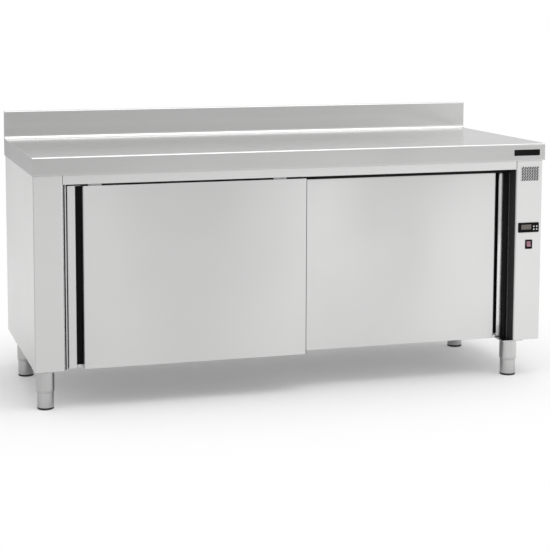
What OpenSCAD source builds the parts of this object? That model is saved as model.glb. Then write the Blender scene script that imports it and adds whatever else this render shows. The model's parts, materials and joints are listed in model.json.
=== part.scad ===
// Heated plate cabinet: a long stainless worktop with a low splashback over an insulated
// cupboard, two sliding doors on an overhead track, a control column at the right end and
// four levelling legs. Millimetres, Z up, origin on the floor at the middle of the footprint.

/* [Cabinet] */
// Length of the worktop
worktop_l = 1800; // [1500:10:2100]
// Depth of the worktop
worktop_d = 700; // [640:10:800]
// Height from the underside of the cupboard to the worktop
body_h = 700; // [640:10:760]
// Height of the splashback above the worktop
splash_h = 100; // [60:1:150]
// Depth of the folded splashback
splash_t = 20; // [16:1:40]
// Height of the folded edge of the worktop
lip_h = 60; // [45:1:64]
// Width of the fold under the edge of the worktop
lip_hem = 9; // [5:1:9]
// Thickness of the sheet steel
sheet_t = 1.5; // [1:0.1:2]
// Outer radius of the front edge of the worktop
edge_r = 6; // [4:1:12]
// Radius of the cove at the foot of the splashback
cove_r = 12; // [6:1:20]
// How far the front edge of the worktop stands out past the cupboard
front_overhang = 12; // [11:1:30]
// How far the back of the worktop stands out past the cupboard
rear_overhang = 15; // [8:1:40]
// How far each end of the worktop stands out past the cupboard
end_overhang = 2; // [1:1:15]
// Width of the plain post at the left
post_w = 97; // [80:1:120]
// Width of the control column at the right
column_w = 100; // [90:1:140]
// Thickness of the insulated floor of the cupboard
floor_t = 30; // [20:1:50]
// Thickness of the insulated back of the cupboard
back_t = 45; // [30:1:70]

/* [Doors] */
// Thickness of one door
door_t = 44; // [40:1:50]
// Free space between the two doors, front to back
door_pass_gap = 6; // [4:1:10]
// Set-back of the front door behind the post
door_setback = 2; // [1:1:6]
// Space between the doors and the frame of the cupboard behind them
door_back_gap = 4; // [2:1:8]
// Free height under the doors, above the leg plates
door_floor_gap = 1; // [0.6:0.1:4]
// Free height between the doors and the rail above them
door_head_gap = 6; // [6:1:14]
// Overlap of the closed doors at the middle
door_overlap = 41; // [36:1:60]
// Gap between the front door, closed, and the post
front_door_gap = 15; // [12:1:20]
// Gap between the rear door, closed, and the control column
rear_door_gap = 3; // [2:0.5:6]
// Width of the flat stile beside the finger pull
pull_stile_w = 30; // [24:1:36]
// Width of the finger pull
pull_w = 20; // [18:1:30]
// How far the stile lies behind the face of the door
pull_setback = 20; // [16:1:24]
// Depth of the finger pull
pull_depth = 36; // [30:1:37]
// Radius of the folds of the doors
door_fold_r = 3; // [2:0.5:5]
// Height of the rail that shows under the worktop edge
rail_show = 32; // [20:1:40]
// Thickness of the door seals
seal_t = 12; // [8:1:12]

/* [Overhead track] */
// Radius of a roller where it runs on the rib
roller_r = 17; // [14:1:19]
// Width of a roller
roller_w = 10; // [8:1:12]
// Depth of the groove in a roller
roller_groove = 3; // [2:0.5:4]
// Radius of a roller's axle
axle_r = 4; // [3:0.5:5]
// Thickness of the track's sheet
track_t = 2; // [1.5:0.1:3]
// Height of the rib that the rollers run on
rib_h = 6; // [5:1:8]
// Width of a hanger
hanger_w = 45; // [40:1:60]
// Distance of a hanger's middle from the end of its door
hanger_inset = 92; // [75:1:160]
// Thickness of a hanger's plate
hanger_t = 3; // [2:0.5:4]

/* [Legs] */
// Height of the legs
leg_h = 130; // [115:1:180]
// Radius of a leg tube
leg_r = 30; // [27:0.5:32]
// Radius of a levelling foot
foot_r = 27; // [23:0.5:28]
// Height of the levelling foot that shows under the tube
foot_show = 56; // [52:1:70]
// Travel of a levelling foot
foot_travel = 15; // [10:1:20]
// Height of a foot's pad
pad_h = 7; // [5:1:10]
// Distance of the left legs from the left end
leg_left_inset = 40; // [40:1:60]
// Distance of the right legs from the right end
leg_right_inset = 103; // [60:1:140]
// Distance of the front legs from the front edge
leg_front_inset = 51; // [51:1:70]
// Distance of the back legs from the back edge
leg_back_inset = 195; // [80:1:250]

/* [Controls] */
// Width of the vent in the control column
vent_w = 73; // [50:1:76]
// Height of the vent
vent_h = 54; // [40:1:70]
// Height of the vent's middle, below the worktop
vent_drop = 108; // [100:1:130]
// Pitch of the vent's slots along a row
slot_pitch = 9.8; // [9:0.1:14]
// Width of a slot of the vent
slot_w = 3; // [2:0.1:3.5]
// Slant of the vent's slots from level
slot_tilt = 52; // [45:1:70]
// Width of the thermostat's bezel
thermostat_w = 78; // [74:1:80]
// Height of the thermostat's bezel
thermostat_h = 34; // [33:1:38]
// Height of the thermostat's middle, below the worktop
thermostat_drop = 298; // [280:1:330]
// Width of the rocker switch
switch_w = 26; // [22:1:30]
// Height of the rocker switch
switch_h = 32; // [28:1:36]
// Drop of the switch's middle below the thermostat's middle
switch_drop = 60; // [50:1:100]
// Distance of the switch's middle from the middle of the column
switch_offset = 2; // [0:1:8]
// Tilt of the rocker at each of its two positions
rocker_tilt = 9; // [6:1:10]
// Radius of a thermostat key
key_r = 2.6; // [2:0.1:3]
// Height that a key stands out of the bezel
key_out = 1.2; // [1.1:0.1:2]
// Width of the nameplate
plate_w = 98; // [60:1:110]
// Height of the nameplate
plate_h = 21; // [14:1:26]
// Distance of the nameplate from the right end
plate_inset = 20; // [14:1:40]
// Drop of the nameplate's top below the worktop
plate_drop = 21; // [14:1:28]

/* [Inside] */
// Height of the shelf's top above the cavity floor
shelf_h = 285; // [220:1:300]
// Depth of the folded edge of a shelf
shelf_edge = 25; // [18:1:30]
// Distance between the two shelves and round them
shelf_gap = 4; // [3:1:8]
// Depth of the air duct at the right end of the cavity
duct_d = 46; // [44:1:60]
// Width of the air duct
duct_w = 300; // [260:1:320]
// Height of the air duct
duct_h = 380; // [300:1:420]
// Radius of the fan wheel
fan_r = 72; // [60:1:76]
// Width of the fan wheel
fan_w = 26; // [20:1:28]
// Number of blades of the fan wheel
fan_blades = 14; // [8:1:18]
// Radius of the heating element's ring
heater_r = 86; // [84:1:92]
// Radius of the heating element's tube
heater_tube_r = 4; // [3:0.1:4.5]

/* [Hidden] */

$fn = 64;
tiny = 0.01;
fit = 0.05;
clear = 0.3;

left_x = -worktop_l / 2;
right_x = worktop_l / 2;
front_y = -worktop_d / 2;
back_y = worktop_d / 2;
base_z = leg_h;
top_z = leg_h + body_h;
under_z = top_z - sheet_t;

body_left = left_x + end_overhang;
body_right = right_x - end_overhang;
body_front = front_y + front_overhang;
body_back = back_y - rear_overhang;
open_left = body_left + post_w;
open_right = body_right - column_w;
column_x = (open_right + body_right) / 2;

door_w = (open_right - open_left - front_door_gap - rear_door_gap + door_overlap) / 2;
door_travel = open_right - open_left - front_door_gap - rear_door_gap - door_w;
rail_z = top_z - lip_h - rail_show;
door_z = base_z + door_floor_gap;
door_h = rail_z - door_head_gap - door_z;
door_top = door_z + door_h;
front_door_y = body_front + door_setback;
rear_door_y = front_door_y + door_t + door_pass_gap;
cavity_front = rear_door_y + door_t + door_back_gap;
cavity_back = body_back - back_t;
cavity_floor = base_z + floor_t;
cavity_top = rail_z;
left_door_x = open_left + front_door_gap;
right_door_x = open_right - rear_door_gap;

stiffener_w = 60;
stiffener_h = 14;
rib_drop = 70;
track_top = under_z - stiffener_h;
rib_z = top_z - rib_drop;
ledge_z = rib_z - rib_h;
roller_z = rib_z + clear / 2 + roller_r;
web_back = 20;

shelf_z = cavity_floor + shelf_h;
rail_drop = shelf_z - sheet_t - shelf_edge;
upright_w = 20;
upright_t = 10;
clip_h = 12;
clip_t = 18;
shelf_left = open_left + upright_t + shelf_gap;
shelf_right = open_right - duct_d - shelf_gap;
shelf_w = (shelf_right - shelf_left - shelf_gap) / 2;
support_inset = 30;
support_front = cavity_front + support_inset;
support_back = cavity_back - support_inset;

fan_y = (cavity_front + cavity_back) / 2;
fan_z = cavity_floor + shelf_h;
leg_plate = 76;
leg_plate_t = 3;
leg_top = base_z - leg_plate_t;
leg_spots = [
  [left_x + leg_left_inset, front_y + leg_front_inset],
  [right_x - leg_right_inset, front_y + leg_front_inset],
  [left_x + leg_left_inset, back_y - leg_back_inset],
  [right_x - leg_right_inset, back_y - leg_back_inset]
];

side_hem = 14;
post_corner_r = 3;
post_edge_r = 4;
column_return = 24;
carrier_t = 2;
carrier_w = 12;
groove_h = 12;
rail_leg = 25;
rail_lip = 15;
bung_r = 6;
bung_h = 4;
bung_x = column_x - bung_r;
bung_y = body_front + 20;
stem_r = 8;
nut_h = 12;
nut_z = leg_top - 14 - nut_h;

vent_x = column_x + switch_offset;
vent_z = top_z - vent_drop;
switch_x = column_x + switch_offset;
switch_body_w = switch_w - 4;
switch_body_h = switch_h - 3;
pivot_y = body_front + 6;
pivot_r = 1.5;
thermostat_z = top_z - thermostat_drop;
switch_z = thermostat_z - switch_drop;
housing_w = thermostat_w - 7;
housing_h = thermostat_h - 5;
bezel_t = 3;
pane_t = 1.2;
display_w = 38;
display_h = 17;
display_x = 10.5;
display_z = (thermostat_h - display_h) / 2 + 2;
key_pitch = [11, 10];
key_edge = 8.5;
key_travel = 0.8;
key_spots = [for (j = [1, 0], i = [0, 1]) [
  column_x + thermostat_w / 2 - key_edge - (1 - i) * key_pitch.x,
  thermostat_z - 1.5 + (j - 0.5) * key_pitch.y
]];

shaft_r = 4;
shaft_room = 6;
shaft_in = 34;
fan_room = 8;
heater_room = 20;
heater_gap = 15;
gland_r = 9;
gland_x = column_x;
gland_z = base_z + 60;

// Box between its lowest and its highest corner.
module box(low, high) {
  translate(low) cube(high - low);
}

// Unit vector from one point of a square-cornered path to the next.
function heading(a, b) = (b - a) / norm(b - a);

// One straight stretch of a folded sheet, trimmed at both ends for its bends.
module stretch(a, b, trim_a, trim_b, t) {
  u = heading(a, b);
  p = a + u * trim_a;
  q = b - u * trim_b;
  side = [abs(u.y), abs(u.x)] * t / 2;
  low = [min(p.x, q.x), min(p.y, q.y)] - side;
  high = [max(p.x, q.x), max(p.y, q.y)] + side;
  translate(low) square(high - low);
}

// One round bend of a folded sheet.
module bend(a, p, b, r, t) {
  centre = p - heading(a, p) * r + heading(p, b) * r;
  reach = r + t;
  corner = p - centre;
  translate(centre) intersection() {
    difference() {
      circle(r + t / 2);
      if (r > t / 2) circle(r - t / 2);
    }
    translate([corner.x < 0 ? -reach : 0, corner.y < 0 ? -reach : 0]) square(reach);
  }
}

// Outline of a folded sheet: the middle line of the sheet, its thickness and one radius a bend.
module folded(path, t, radii) {
  n = len(path);
  for (i = [0 : n - 2]) {
    stretch(path[i], path[i + 1], i > 0 ? radii[i - 1] : 0, i < n - 2 ? radii[i] : 0, t);
  }
  for (i = [1 : n - 2]) bend(path[i - 1], path[i], path[i + 1], radii[i - 1], t);
}

// Turns a shape drawn across front-to-back and height into a bar along X.
module along_x(x, length) {
  translate([x, 0, 0]) rotate([90, 0, 90]) linear_extrude(length) children();
}

// Flat plate outline with rounded corners.
module rounded_plate(w, h, r) {
  for (x = [r, w - r], y = [r, h - r]) translate([x, y]) circle(r);
  translate([r, 0]) square([w - 2 * r, h]);
  translate([0, r]) square([w, h - 2 * r]);
}

// Worktop: one sheet folded into hem, front edge, top, cove, splashback and its back.
module worktop_fold() {
  half = sheet_t / 2;
  hem_r = sheet_t;
  splash_r = 3;
  edge = [front_y + half, top_z - lip_h + half];
  folded([
    [edge.x + lip_hem, edge.y],
    edge,
    [edge.x, top_z - half],
    [back_y - splash_t + half, top_z - half],
    [back_y - splash_t + half, top_z + splash_h - half],
    [back_y - half, top_z + splash_h - half],
    [back_y - half, top_z - lip_h + half],
    [back_y - half - lip_hem, top_z - lip_h + half]
  ], sheet_t, [hem_r, edge_r - half, cove_r + half, splash_r, splash_r, hem_r]);
}

// Closed end of the worktop, with the same corners and the same cove.
module worktop_end() {
  difference() {
    union() {
      translate([front_y, top_z - lip_h]) square([worktop_d, lip_h]);
      translate([back_y - splash_t, top_z]) square([splash_t, splash_h]);
      translate([back_y - splash_t - cove_r, top_z]) square(cove_r);
    }
    translate([back_y - splash_t - cove_r, top_z + cove_r]) circle(cove_r);
    difference() {
      translate([front_y - tiny, top_z - edge_r]) square([edge_r + tiny, edge_r + tiny]);
      translate([front_y + edge_r, top_z - edge_r]) circle(edge_r);
    }
  }
}

module worktop() {
  color("silver") {
    along_x(left_x + sheet_t, worktop_l - 2 * sheet_t) worktop_fold();
    for (x = [left_x, right_x - sheet_t]) along_x(x, sheet_t) worktop_end();
  }
}

// Top-hat bars glued across the underside of the worktop.
module worktop_stiffeners() {
  bars = 4;
  t = sheet_t;
  span = open_right - open_left - 2 * stiffener_w;
  color("gainsboro") for (i = [0 : bars - 1]) {
    x = open_left + stiffener_w + span * i / (bars - 1);
    translate([x, body_back - sheet_t, 0]) rotate([90, 0, 0])
      linear_extrude(body_back - sheet_t - front_y - front_overhang - 3) folded([
        [-stiffener_w / 2, under_z - t / 2],
        [-stiffener_w / 4, under_z - t / 2],
        [-stiffener_w / 4, under_z - stiffener_h + t / 2],
        [stiffener_w / 4, under_z - stiffener_h + t / 2],
        [stiffener_w / 4, under_z - t / 2],
        [stiffener_w / 2, under_z - t / 2]
      ], t, [t, t, t, t]);
  }
}

// Blank plate on the front edge of the worktop.
module nameplate() {
  plate_t = 0.8;
  color("black") translate([right_x - plate_inset - plate_w, front_y, top_z - plate_drop - plate_h])
    rotate([90, 0, 0]) linear_extrude(plate_t) rounded_plate(plate_w, plate_h, 2);
}

// Outer left side: rear hem, side, post face and the post's return into the door opening.
module left_side_panel() {
  half = sheet_t / 2;
  rear = body_back - sheet_t - half;
  color("silver") translate([0, 0, base_z + sheet_t]) linear_extrude(body_h - 2 * sheet_t) folded([
    [body_left + side_hem, rear],
    [body_left + half, rear],
    [body_left + half, body_front + half],
    [open_left - half, body_front + half],
    [open_left - half, cavity_front]
  ], sheet_t, [sheet_t, post_corner_r, post_edge_r]);
}

// Inner wall of the cavity at the left.
module left_liner() {
  color("gainsboro") box([open_left - sheet_t, cavity_front, base_z + sheet_t],
    [open_left, cavity_back, cavity_top + sheet_t]);
}

// Outer right side, behind the wrapped edge of the control panel.
module right_side_panel() {
  half = sheet_t / 2;
  rear = body_back - sheet_t - half;
  color("silver") translate([0, 0, base_z + sheet_t]) linear_extrude(body_h - 2 * sheet_t) folded([
    [body_right - side_hem, rear],
    [body_right - half, rear],
    [body_right - half, body_front + column_return]
  ], sheet_t, [sheet_t]);
}

// Rectangular hole through the front of the control column.
module panel_cut(x, z, w, h) {
  box([x - w / 2, body_front - 1, z - h / 2], [x + w / 2, body_front + 2 * sheet_t, z + h / 2]);
}

// Front of the control column, with its openings, wrapped round both edges.
module control_panel() {
  half = sheet_t / 2;
  color("silver") difference() {
    translate([0, 0, base_z + sheet_t]) linear_extrude(body_h - 2 * sheet_t) folded([
      [open_right + half, cavity_front],
      [open_right + half, body_front + half],
      [body_right - half, body_front + half],
      [body_right - half, body_front + column_return]
    ], sheet_t, [post_edge_r, post_corner_r]);
    panel_cut(vent_x, vent_z, vent_w + 2 * fit, vent_h + 2 * fit);
    panel_cut(column_x, thermostat_z, housing_w + 2 * fit, housing_h + 2 * fit);
    panel_cut(switch_x, switch_z, switch_body_w + 2 * fit, switch_body_h + 2 * fit);
  }
}

// Inner wall of the cavity at the right, with the holes for the fan shaft and the heater.
module right_liner() {
  color("gainsboro") difference() {
    box([open_right, cavity_front, base_z + sheet_t],
      [open_right + sheet_t, cavity_back, cavity_top + sheet_t]);
    translate([open_right - 1, fan_y, fan_z]) rotate([0, 90, 0])
      cylinder(h = 2 + sheet_t, r = shaft_r + shaft_room);
    for (side = [-1, 1]) translate([open_right - 1, 0, 0]) heater_leg_place(side)
      cylinder(h = 2 + sheet_t, r = heater_tube_r + clear);
  }
}

// Outer back, screwed to the hems of the sides.
module back_panel() {
  color("silver") difference() {
    box([body_left, body_back - sheet_t, base_z], [body_right, body_back, under_z]);
    translate([gland_x, body_back + 1, gland_z]) rotate([90, 0, 0])
      cylinder(h = 2 + sheet_t, r = gland_r + fit);
  }
}

// Inner wall of the cavity at the back.
module back_liner() {
  color("gainsboro") box([open_left - sheet_t, cavity_back, base_z + sheet_t],
    [open_right + sheet_t, cavity_back + sheet_t, cavity_top + sheet_t]);
}

// Bottom sheet of the cupboard, folded up along its front between the ends.
module base_tray() {
  half = sheet_t / 2;
  color("silver") {
    along_x(open_left, open_right - open_left) folded([
      [cavity_front + half, cavity_floor - sheet_t],
      [cavity_front + half, base_z + half],
      [body_back - sheet_t, base_z + half]
    ], sheet_t, [sheet_t]);
    box([body_left, cavity_front, base_z], [open_left, body_back - sheet_t, base_z + sheet_t]);
    box([open_right, cavity_front, base_z], [body_right, body_back - sheet_t, base_z + sheet_t]);
  }
}

// Bottoms of the post and of the control column, in front of the bottom sheet.
module end_bases() {
  color("silver") {
    box([body_left, body_front, base_z], [open_left, cavity_front, base_z + sheet_t]);
    difference() {
      box([open_right, body_front, base_z], [body_right, cavity_front, base_z + sheet_t]);
      translate([bung_x, bung_y, base_z - 1]) cylinder(h = 2 + sheet_t, r = bung_r - 1 + fit);
    }
  }
}

// Floor of the cavity.
module floor_liner() {
  color("gainsboro") box([open_left, cavity_front, cavity_floor - sheet_t],
    [open_right, cavity_back, cavity_floor]);
}

// Ceiling of the cavity, folded up along its front to the stiffeners.
module ceiling_liner() {
  half = sheet_t / 2;
  color("gainsboro") along_x(open_left, open_right - open_left) folded([
    [cavity_front + half, track_top],
    [cavity_front + half, cavity_top + half],
    [cavity_back, cavity_top + half]
  ], sheet_t, [sheet_t]);
}

// Folded rail that hides the overhead track.
module door_rail() {
  half = sheet_t / 2;
  rail_y = body_front + 1;
  foot = 7;
  head = 14;
  color("silver") along_x(open_left, open_right - open_left) folded([
    [rail_y + foot, rail_z + half],
    [rail_y + half, rail_z + half],
    [rail_y + half, track_top - half],
    [rail_y + head, track_top - half]
  ], sheet_t, [2, sheet_t]);
}

// Overhead track: two ledges, each with a rib for the rollers, under one top plate.
module overhead_track() {
  half = track_t / 2;
  color("darkgray") along_x(open_left, open_right - open_left) {
    for (y = [front_door_y, rear_door_y]) {
      mid = y + door_t / 2;
      folded([
        [mid + web_back - half, track_top - track_t],
        [mid + web_back - half, ledge_z - half],
        [mid - half, ledge_z - half],
        [mid - half, rib_z]
      ], track_t, [track_t, track_t]);
    }
    translate([front_door_y + door_t / 2 - half, track_top - track_t])
      square([rear_door_y - front_door_y + web_back + half, track_t]);
  }
}

// Rubber stops at the ends of both tracks, and the bung in the column's base.
module rubber_bumpers() {
  stop_l = 14;
  reach = hanger_inset - roller_r - roller_groove - clear;
  color("dimgray") {
    for (y = [front_door_y, rear_door_y], x = [left_door_x + reach - stop_l, right_door_x - reach]) {
      box([x, y + door_t / 2, ledge_z],
        [x + stop_l, y + door_t / 2 + web_back - track_t, roller_z + roller_groove]);
    }
    translate([bung_x, bung_y, base_z - bung_h]) {
      cylinder(h = bung_h, r1 = bung_r - 1, r2 = bung_r);
      cylinder(h = bung_h + 2 * sheet_t, r = bung_r - 1);
    }
  }
}

// Nylon guide under the overlap of the doors, with one fin for each door.
module door_guide() {
  end_room = 4;
  wide = door_overlap - 2 * (end_room + sheet_t);
  thick = 2;
  lap = 30;
  play = 1;
  middle = (left_door_x + right_door_x) / 2;
  color("whitesmoke") {
    box([middle - wide / 2, front_door_y + pull_depth, base_z - thick],
      [middle + wide / 2, cavity_front + lap, base_z]);
    for (y = [front_door_y, rear_door_y]) {
      box([middle - wide / 2, y + pull_depth + play, base_z],
        [middle + wide / 2, y + door_t - sheet_t - play, door_z + groove_h - 2]);
    }
  }
}

// Strips that hold the door seals.
module seal_carriers() {
  low = base_z + sheet_t;
  color("darkgray") {
    box([open_left, front_door_y + 2, low], [open_left + carrier_t, front_door_y + 2 + carrier_w, rail_z]);
    box([open_right - carrier_t, rear_door_y - 3, low],
      [open_right, rear_door_y - 3 + carrier_w, rail_z]);
  }
}

// One seal: a rubber bar with rounded edges, wide by deep by tall.
module seal_profile(wide, deep, tall) {
  r = 2;
  linear_extrude(tall) {
    square([wide - r, deep]);
    translate([wide - r, r]) square([r, deep - 2 * r]);
    for (y = [r, deep - r]) translate([wide - r, y]) circle(r);
  }
}

// Rubber seals: one beside the front door, one over the stile of the rear door.
module door_seals() {
  low = base_z + sheet_t;
  tall = rail_z - low;
  color("black") {
    translate([open_left + carrier_t, front_door_y + 4, low])
      seal_profile(front_door_gap - carrier_t - 1, pull_setback - 8, tall);
    translate([open_right - carrier_t, rear_door_y, low]) mirror([1, 0, 0])
      seal_profile(seal_t, pull_setback - 3, tall);
  }
}

// Slotted uprights on the end walls of the cavity, each with a clip that carries a shelf rail.
module shelf_supports() {
  slot_gap = 50;
  margin = 10;
  tall = cavity_top - cavity_floor - 2 * margin;
  slots = floor(tall / slot_gap) - 1;
  half = sheet_t / 2;
  color("gainsboro") for (end = [0, 1], y = [support_front, support_back]) {
    translate([end == 0 ? open_left : open_right, y, 0]) mirror([end, 0, 0]) {
      difference() {
        translate([0, 0, cavity_floor + margin]) linear_extrude(tall) folded([
          [0, half - upright_w / 2],
          [upright_t - half, half - upright_w / 2],
          [upright_t - half, upright_w / 2 - half],
          [0, upright_w / 2 - half]
        ], sheet_t, [sheet_t, sheet_t]);
        for (i = [1 : slots]) translate([upright_t - 2 * sheet_t, -4, cavity_floor + margin + i * slot_gap])
          cube([3 * sheet_t, 8, 12]);
      }
      box([upright_t, -upright_w / 2, rail_drop - clip_h],
        [upright_t + clip_t, upright_w / 2, rail_drop]);
    }
  }
}

// Two angle bars along the cavity that carry both shelves.
module shelf_rails() {
  start = open_left + upright_t + clear;
  finish = open_right - upright_t - clear;
  color("gainsboro") for (back = [0, 1]) {
    translate([0, back == 0 ? support_front : support_back, 0]) mirror([0, back, 0]) {
      box([start, -rail_leg / 2, rail_drop], [finish, rail_leg / 2, rail_drop + sheet_t]);
      box([start, -rail_leg / 2, rail_drop], [finish, sheet_t - rail_leg / 2, rail_drop + rail_lip]);
    }
  }
}

// One shelf: a sheet with its four edges folded down and rows of air slots.
module shelf(x) {
  low_y = support_front - rail_leg / 2 + sheet_t + clear;
  deep = support_back - support_front + rail_leg - 2 * (sheet_t + clear);
  floor_z = rail_drop + sheet_t;
  slot_l = 60;
  slot_d = 8;
  cols = floor(shelf_w / 95);
  rows = floor(deep / 75);
  color("gainsboro") difference() {
    box([x, low_y, floor_z], [x + shelf_w, low_y + deep, shelf_z]);
    box([x + sheet_t, low_y + sheet_t, floor_z - 1],
      [x + shelf_w - sheet_t, low_y + deep - sheet_t, shelf_z - sheet_t]);
    for (i = [0 : cols - 1], j = [0 : rows - 1]) {
      translate([x + shelf_w * (i + 0.5) / cols, low_y + deep * (j + 0.5) / rows, shelf_z - 2 * sheet_t])
        linear_extrude(3 * sheet_t) {
          square([slot_l - slot_d, slot_d], center = true);
          for (side = [-1, 1]) translate([side * (slot_l - slot_d) / 2, 0]) circle(d = slot_d);
        }
    }
  }
}

module left_shelf() { shelf(shelf_left); }
module right_shelf() { shelf(shelf_right - shelf_w); }

// Places a door that is drawn from its closing edge, its face forward.
module door_place(side) {
  if (side == "left") translate([left_door_x, front_door_y, 0]) children();
  if (side == "right") translate([right_door_x, rear_door_y, 0]) mirror([1, 0, 0]) children();
}

// Flat plate outline with its two front corners rounded.
module round_front(low, high, r) {
  for (x = [low.x + r, high.x - r]) translate([x, low.y + r]) circle(r);
  translate([low.x + r, low.y]) square([high.x - low.x - 2 * r, r]);
  translate([low.x, low.y + r]) square([high.x - low.x, high.y - low.y - r]);
}

// Outer skin of a door: stile, finger pull and face from one sheet, with its end caps.
module door_skin(side) {
  half = sheet_t / 2;
  face_u = pull_stile_w + pull_w;
  inside = door_t - sheet_t;
  color("silver") door_place(side) {
    translate([0, 0, door_z]) linear_extrude(door_h) folded([
      [half, inside],
      [half, pull_setback + half],
      [pull_stile_w - half, pull_setback + half],
      [pull_stile_w - half, pull_depth - half],
      [face_u + half, pull_depth - half],
      [face_u + half, half],
      [door_w - half, half],
      [door_w - half, inside]
    ], sheet_t, [door_fold_r, door_fold_r, sheet_t, sheet_t, door_fold_r, door_fold_r]);
    for (z = [door_z + groove_h, door_top - sheet_t]) translate([0, 0, z]) linear_extrude(sheet_t) {
      round_front([half, pull_setback + half], [pull_stile_w - half, inside], door_fold_r);
      translate([pull_stile_w - half, pull_depth - half])
        square([pull_w + sheet_t, inside - pull_depth + half]);
      round_front([face_u + half, half], [door_w - half, inside], door_fold_r);
    }
    box([face_u + half, pull_depth - sheet_t, door_z], [door_w - half, pull_depth, door_z + groove_h]);
  }
}

// Inner skin of a door: one flat sheet.
module door_back(side) {
  color("gainsboro") door_place(side)
    box([0, door_t - sheet_t, door_z], [door_w, door_t, door_top]);
}

// Round bar from one depth to another.
module depth_pin(low, high, r, sides = $fn) {
  translate([0, high, 0]) rotate([90, 0, 0]) cylinder(h = high - low, r = r, $fn = sides);
}

// Hangers of a door: bolted foot, upright plate and the fixed axle of the roller.
module door_hangers(side) {
  mid = door_t / 2;
  foot_front = 13;
  foot_back = 9;
  bolt_inset = 8;
  bolt_r = 5;
  bolt_h = 4;
  nut_t = 3;
  plate_y = mid - foot_front;
  roller_front = mid - track_t / 2 - roller_w / 2;
  roller_back = roller_front + roller_w;
  collar_r = axle_r + 2;
  color("lightgray") door_place(side) for (u = [hanger_inset, door_w - hanger_inset]) {
    translate([u, 0, 0]) {
      box([-hanger_w / 2, plate_y, door_top], [hanger_w / 2, mid + foot_back, door_top + hanger_t]);
      for (s = [-1, 1]) translate([s * (hanger_w / 2 - bolt_inset), mid + 1, door_top + hanger_t])
        cylinder(h = bolt_h, r = bolt_r, $fn = 6);
      translate([0, plate_y + hanger_t, 0]) rotate([90, 0, 0]) linear_extrude(hanger_t) {
        translate([-hanger_w / 2, door_top]) square([hanger_w, roller_z - door_top]);
        translate([0, roller_z]) circle(r = hanger_w / 2 - 6);
      }
      translate([0, 0, roller_z]) {
        depth_pin(plate_y, roller_back + clear + 2, axle_r);
        depth_pin(plate_y + hanger_t, roller_front - clear, collar_r);
        depth_pin(roller_back + clear, roller_back + clear + 2, collar_r);
        depth_pin(plate_y - nut_t, plate_y, collar_r, 6);
      }
    }
  }
}

module left_door_skin() { door_skin("left"); }
module left_door_back() { door_back("left"); }
module left_door_hangers() { door_hangers("left"); }
module right_door_skin() { door_skin("right"); }
module right_door_back() { door_back("right"); }
module right_door_hangers() { door_hangers("right"); }

// Grooved nylon roller that runs on the rib of the track.
module roller(side, u) {
  rim_r = roller_r + roller_groove;
  rim_w = (roller_w - track_t - 2) / 2;
  flare = 1;
  color("whitesmoke") door_place(side)
    translate([u, door_t / 2 - track_t / 2 - roller_w / 2, roller_z]) rotate([-90, 0, 0]) rotate_extrude() {
      difference() {
        translate([axle_r + fit, 0]) square([rim_r - axle_r - fit, roller_w]);
        polygon([
          [roller_r, rim_w],
          [roller_r, roller_w - rim_w],
          [rim_r + tiny, roller_w - rim_w + flare],
          [rim_r + tiny, rim_w - flare]
        ]);
      }
    }
}

module left_roller_a() { roller("left", hanger_inset); }
module left_roller_b() { roller("left", door_w - hanger_inset); }
module right_roller_a() { roller("right", hanger_inset); }
module right_roller_b() { roller("right", door_w - hanger_inset); }

// Leg tubes: each has a mounting plate, a tapered end and a nut for the foot's stem.
module leg_tubes() {
  taper = 8;
  inner_r = foot_r + fit;
  wall_low = 0.8;
  color("silver") for (spot = leg_spots) translate([spot.x, spot.y, 0]) {
    translate([-leg_plate / 2, -leg_plate / 2, leg_top]) cube([leg_plate, leg_plate, leg_plate_t]);
    difference() {
      union() {
        translate([0, 0, foot_show]) cylinder(h = taper, r1 = inner_r + wall_low, r2 = leg_r);
        translate([0, 0, foot_show + taper]) cylinder(h = leg_top - foot_show - taper, r = leg_r);
      }
      translate([0, 0, foot_show - 1]) cylinder(h = leg_top - foot_show + 1, r = inner_r);
    }
    difference() {
      translate([0, 0, nut_z]) cylinder(h = nut_h, r = inner_r + wall_low);
      translate([0, 0, nut_z - 1]) cylinder(h = nut_h + 2, r = stem_r + fit);
    }
  }
}

// Levelling foot: a sleeve closed at the bottom, with the stem that screws into the leg.
module foot(i) {
  wall = 2;
  bottom = 4;
  color("silver") translate([leg_spots[i].x, leg_spots[i].y, pad_h]) {
    difference() {
      cylinder(h = nut_z - 2 - pad_h, r = foot_r);
      translate([0, 0, bottom]) cylinder(h = nut_z, r = foot_r - wall);
    }
    cylinder(h = leg_top - 1 - pad_h, r = stem_r);
  }
}

module front_left_foot() { foot(0); }
module front_right_foot() { foot(1); }
module back_left_foot() { foot(2); }
module back_right_foot() { foot(3); }

// Plastic pad under a foot.
module pad(i) {
  bevel = 1.5;
  color("black") translate([leg_spots[i].x, leg_spots[i].y, 0]) {
    cylinder(h = bevel, r1 = foot_r - bevel, r2 = foot_r);
    translate([0, 0, bevel]) cylinder(h = pad_h - bevel, r = foot_r);
  }
}

module front_left_pad() { pad(0); }
module front_right_pad() { pad(1); }
module back_left_pad() { pad(2); }
module back_right_pad() { pad(3); }

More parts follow.
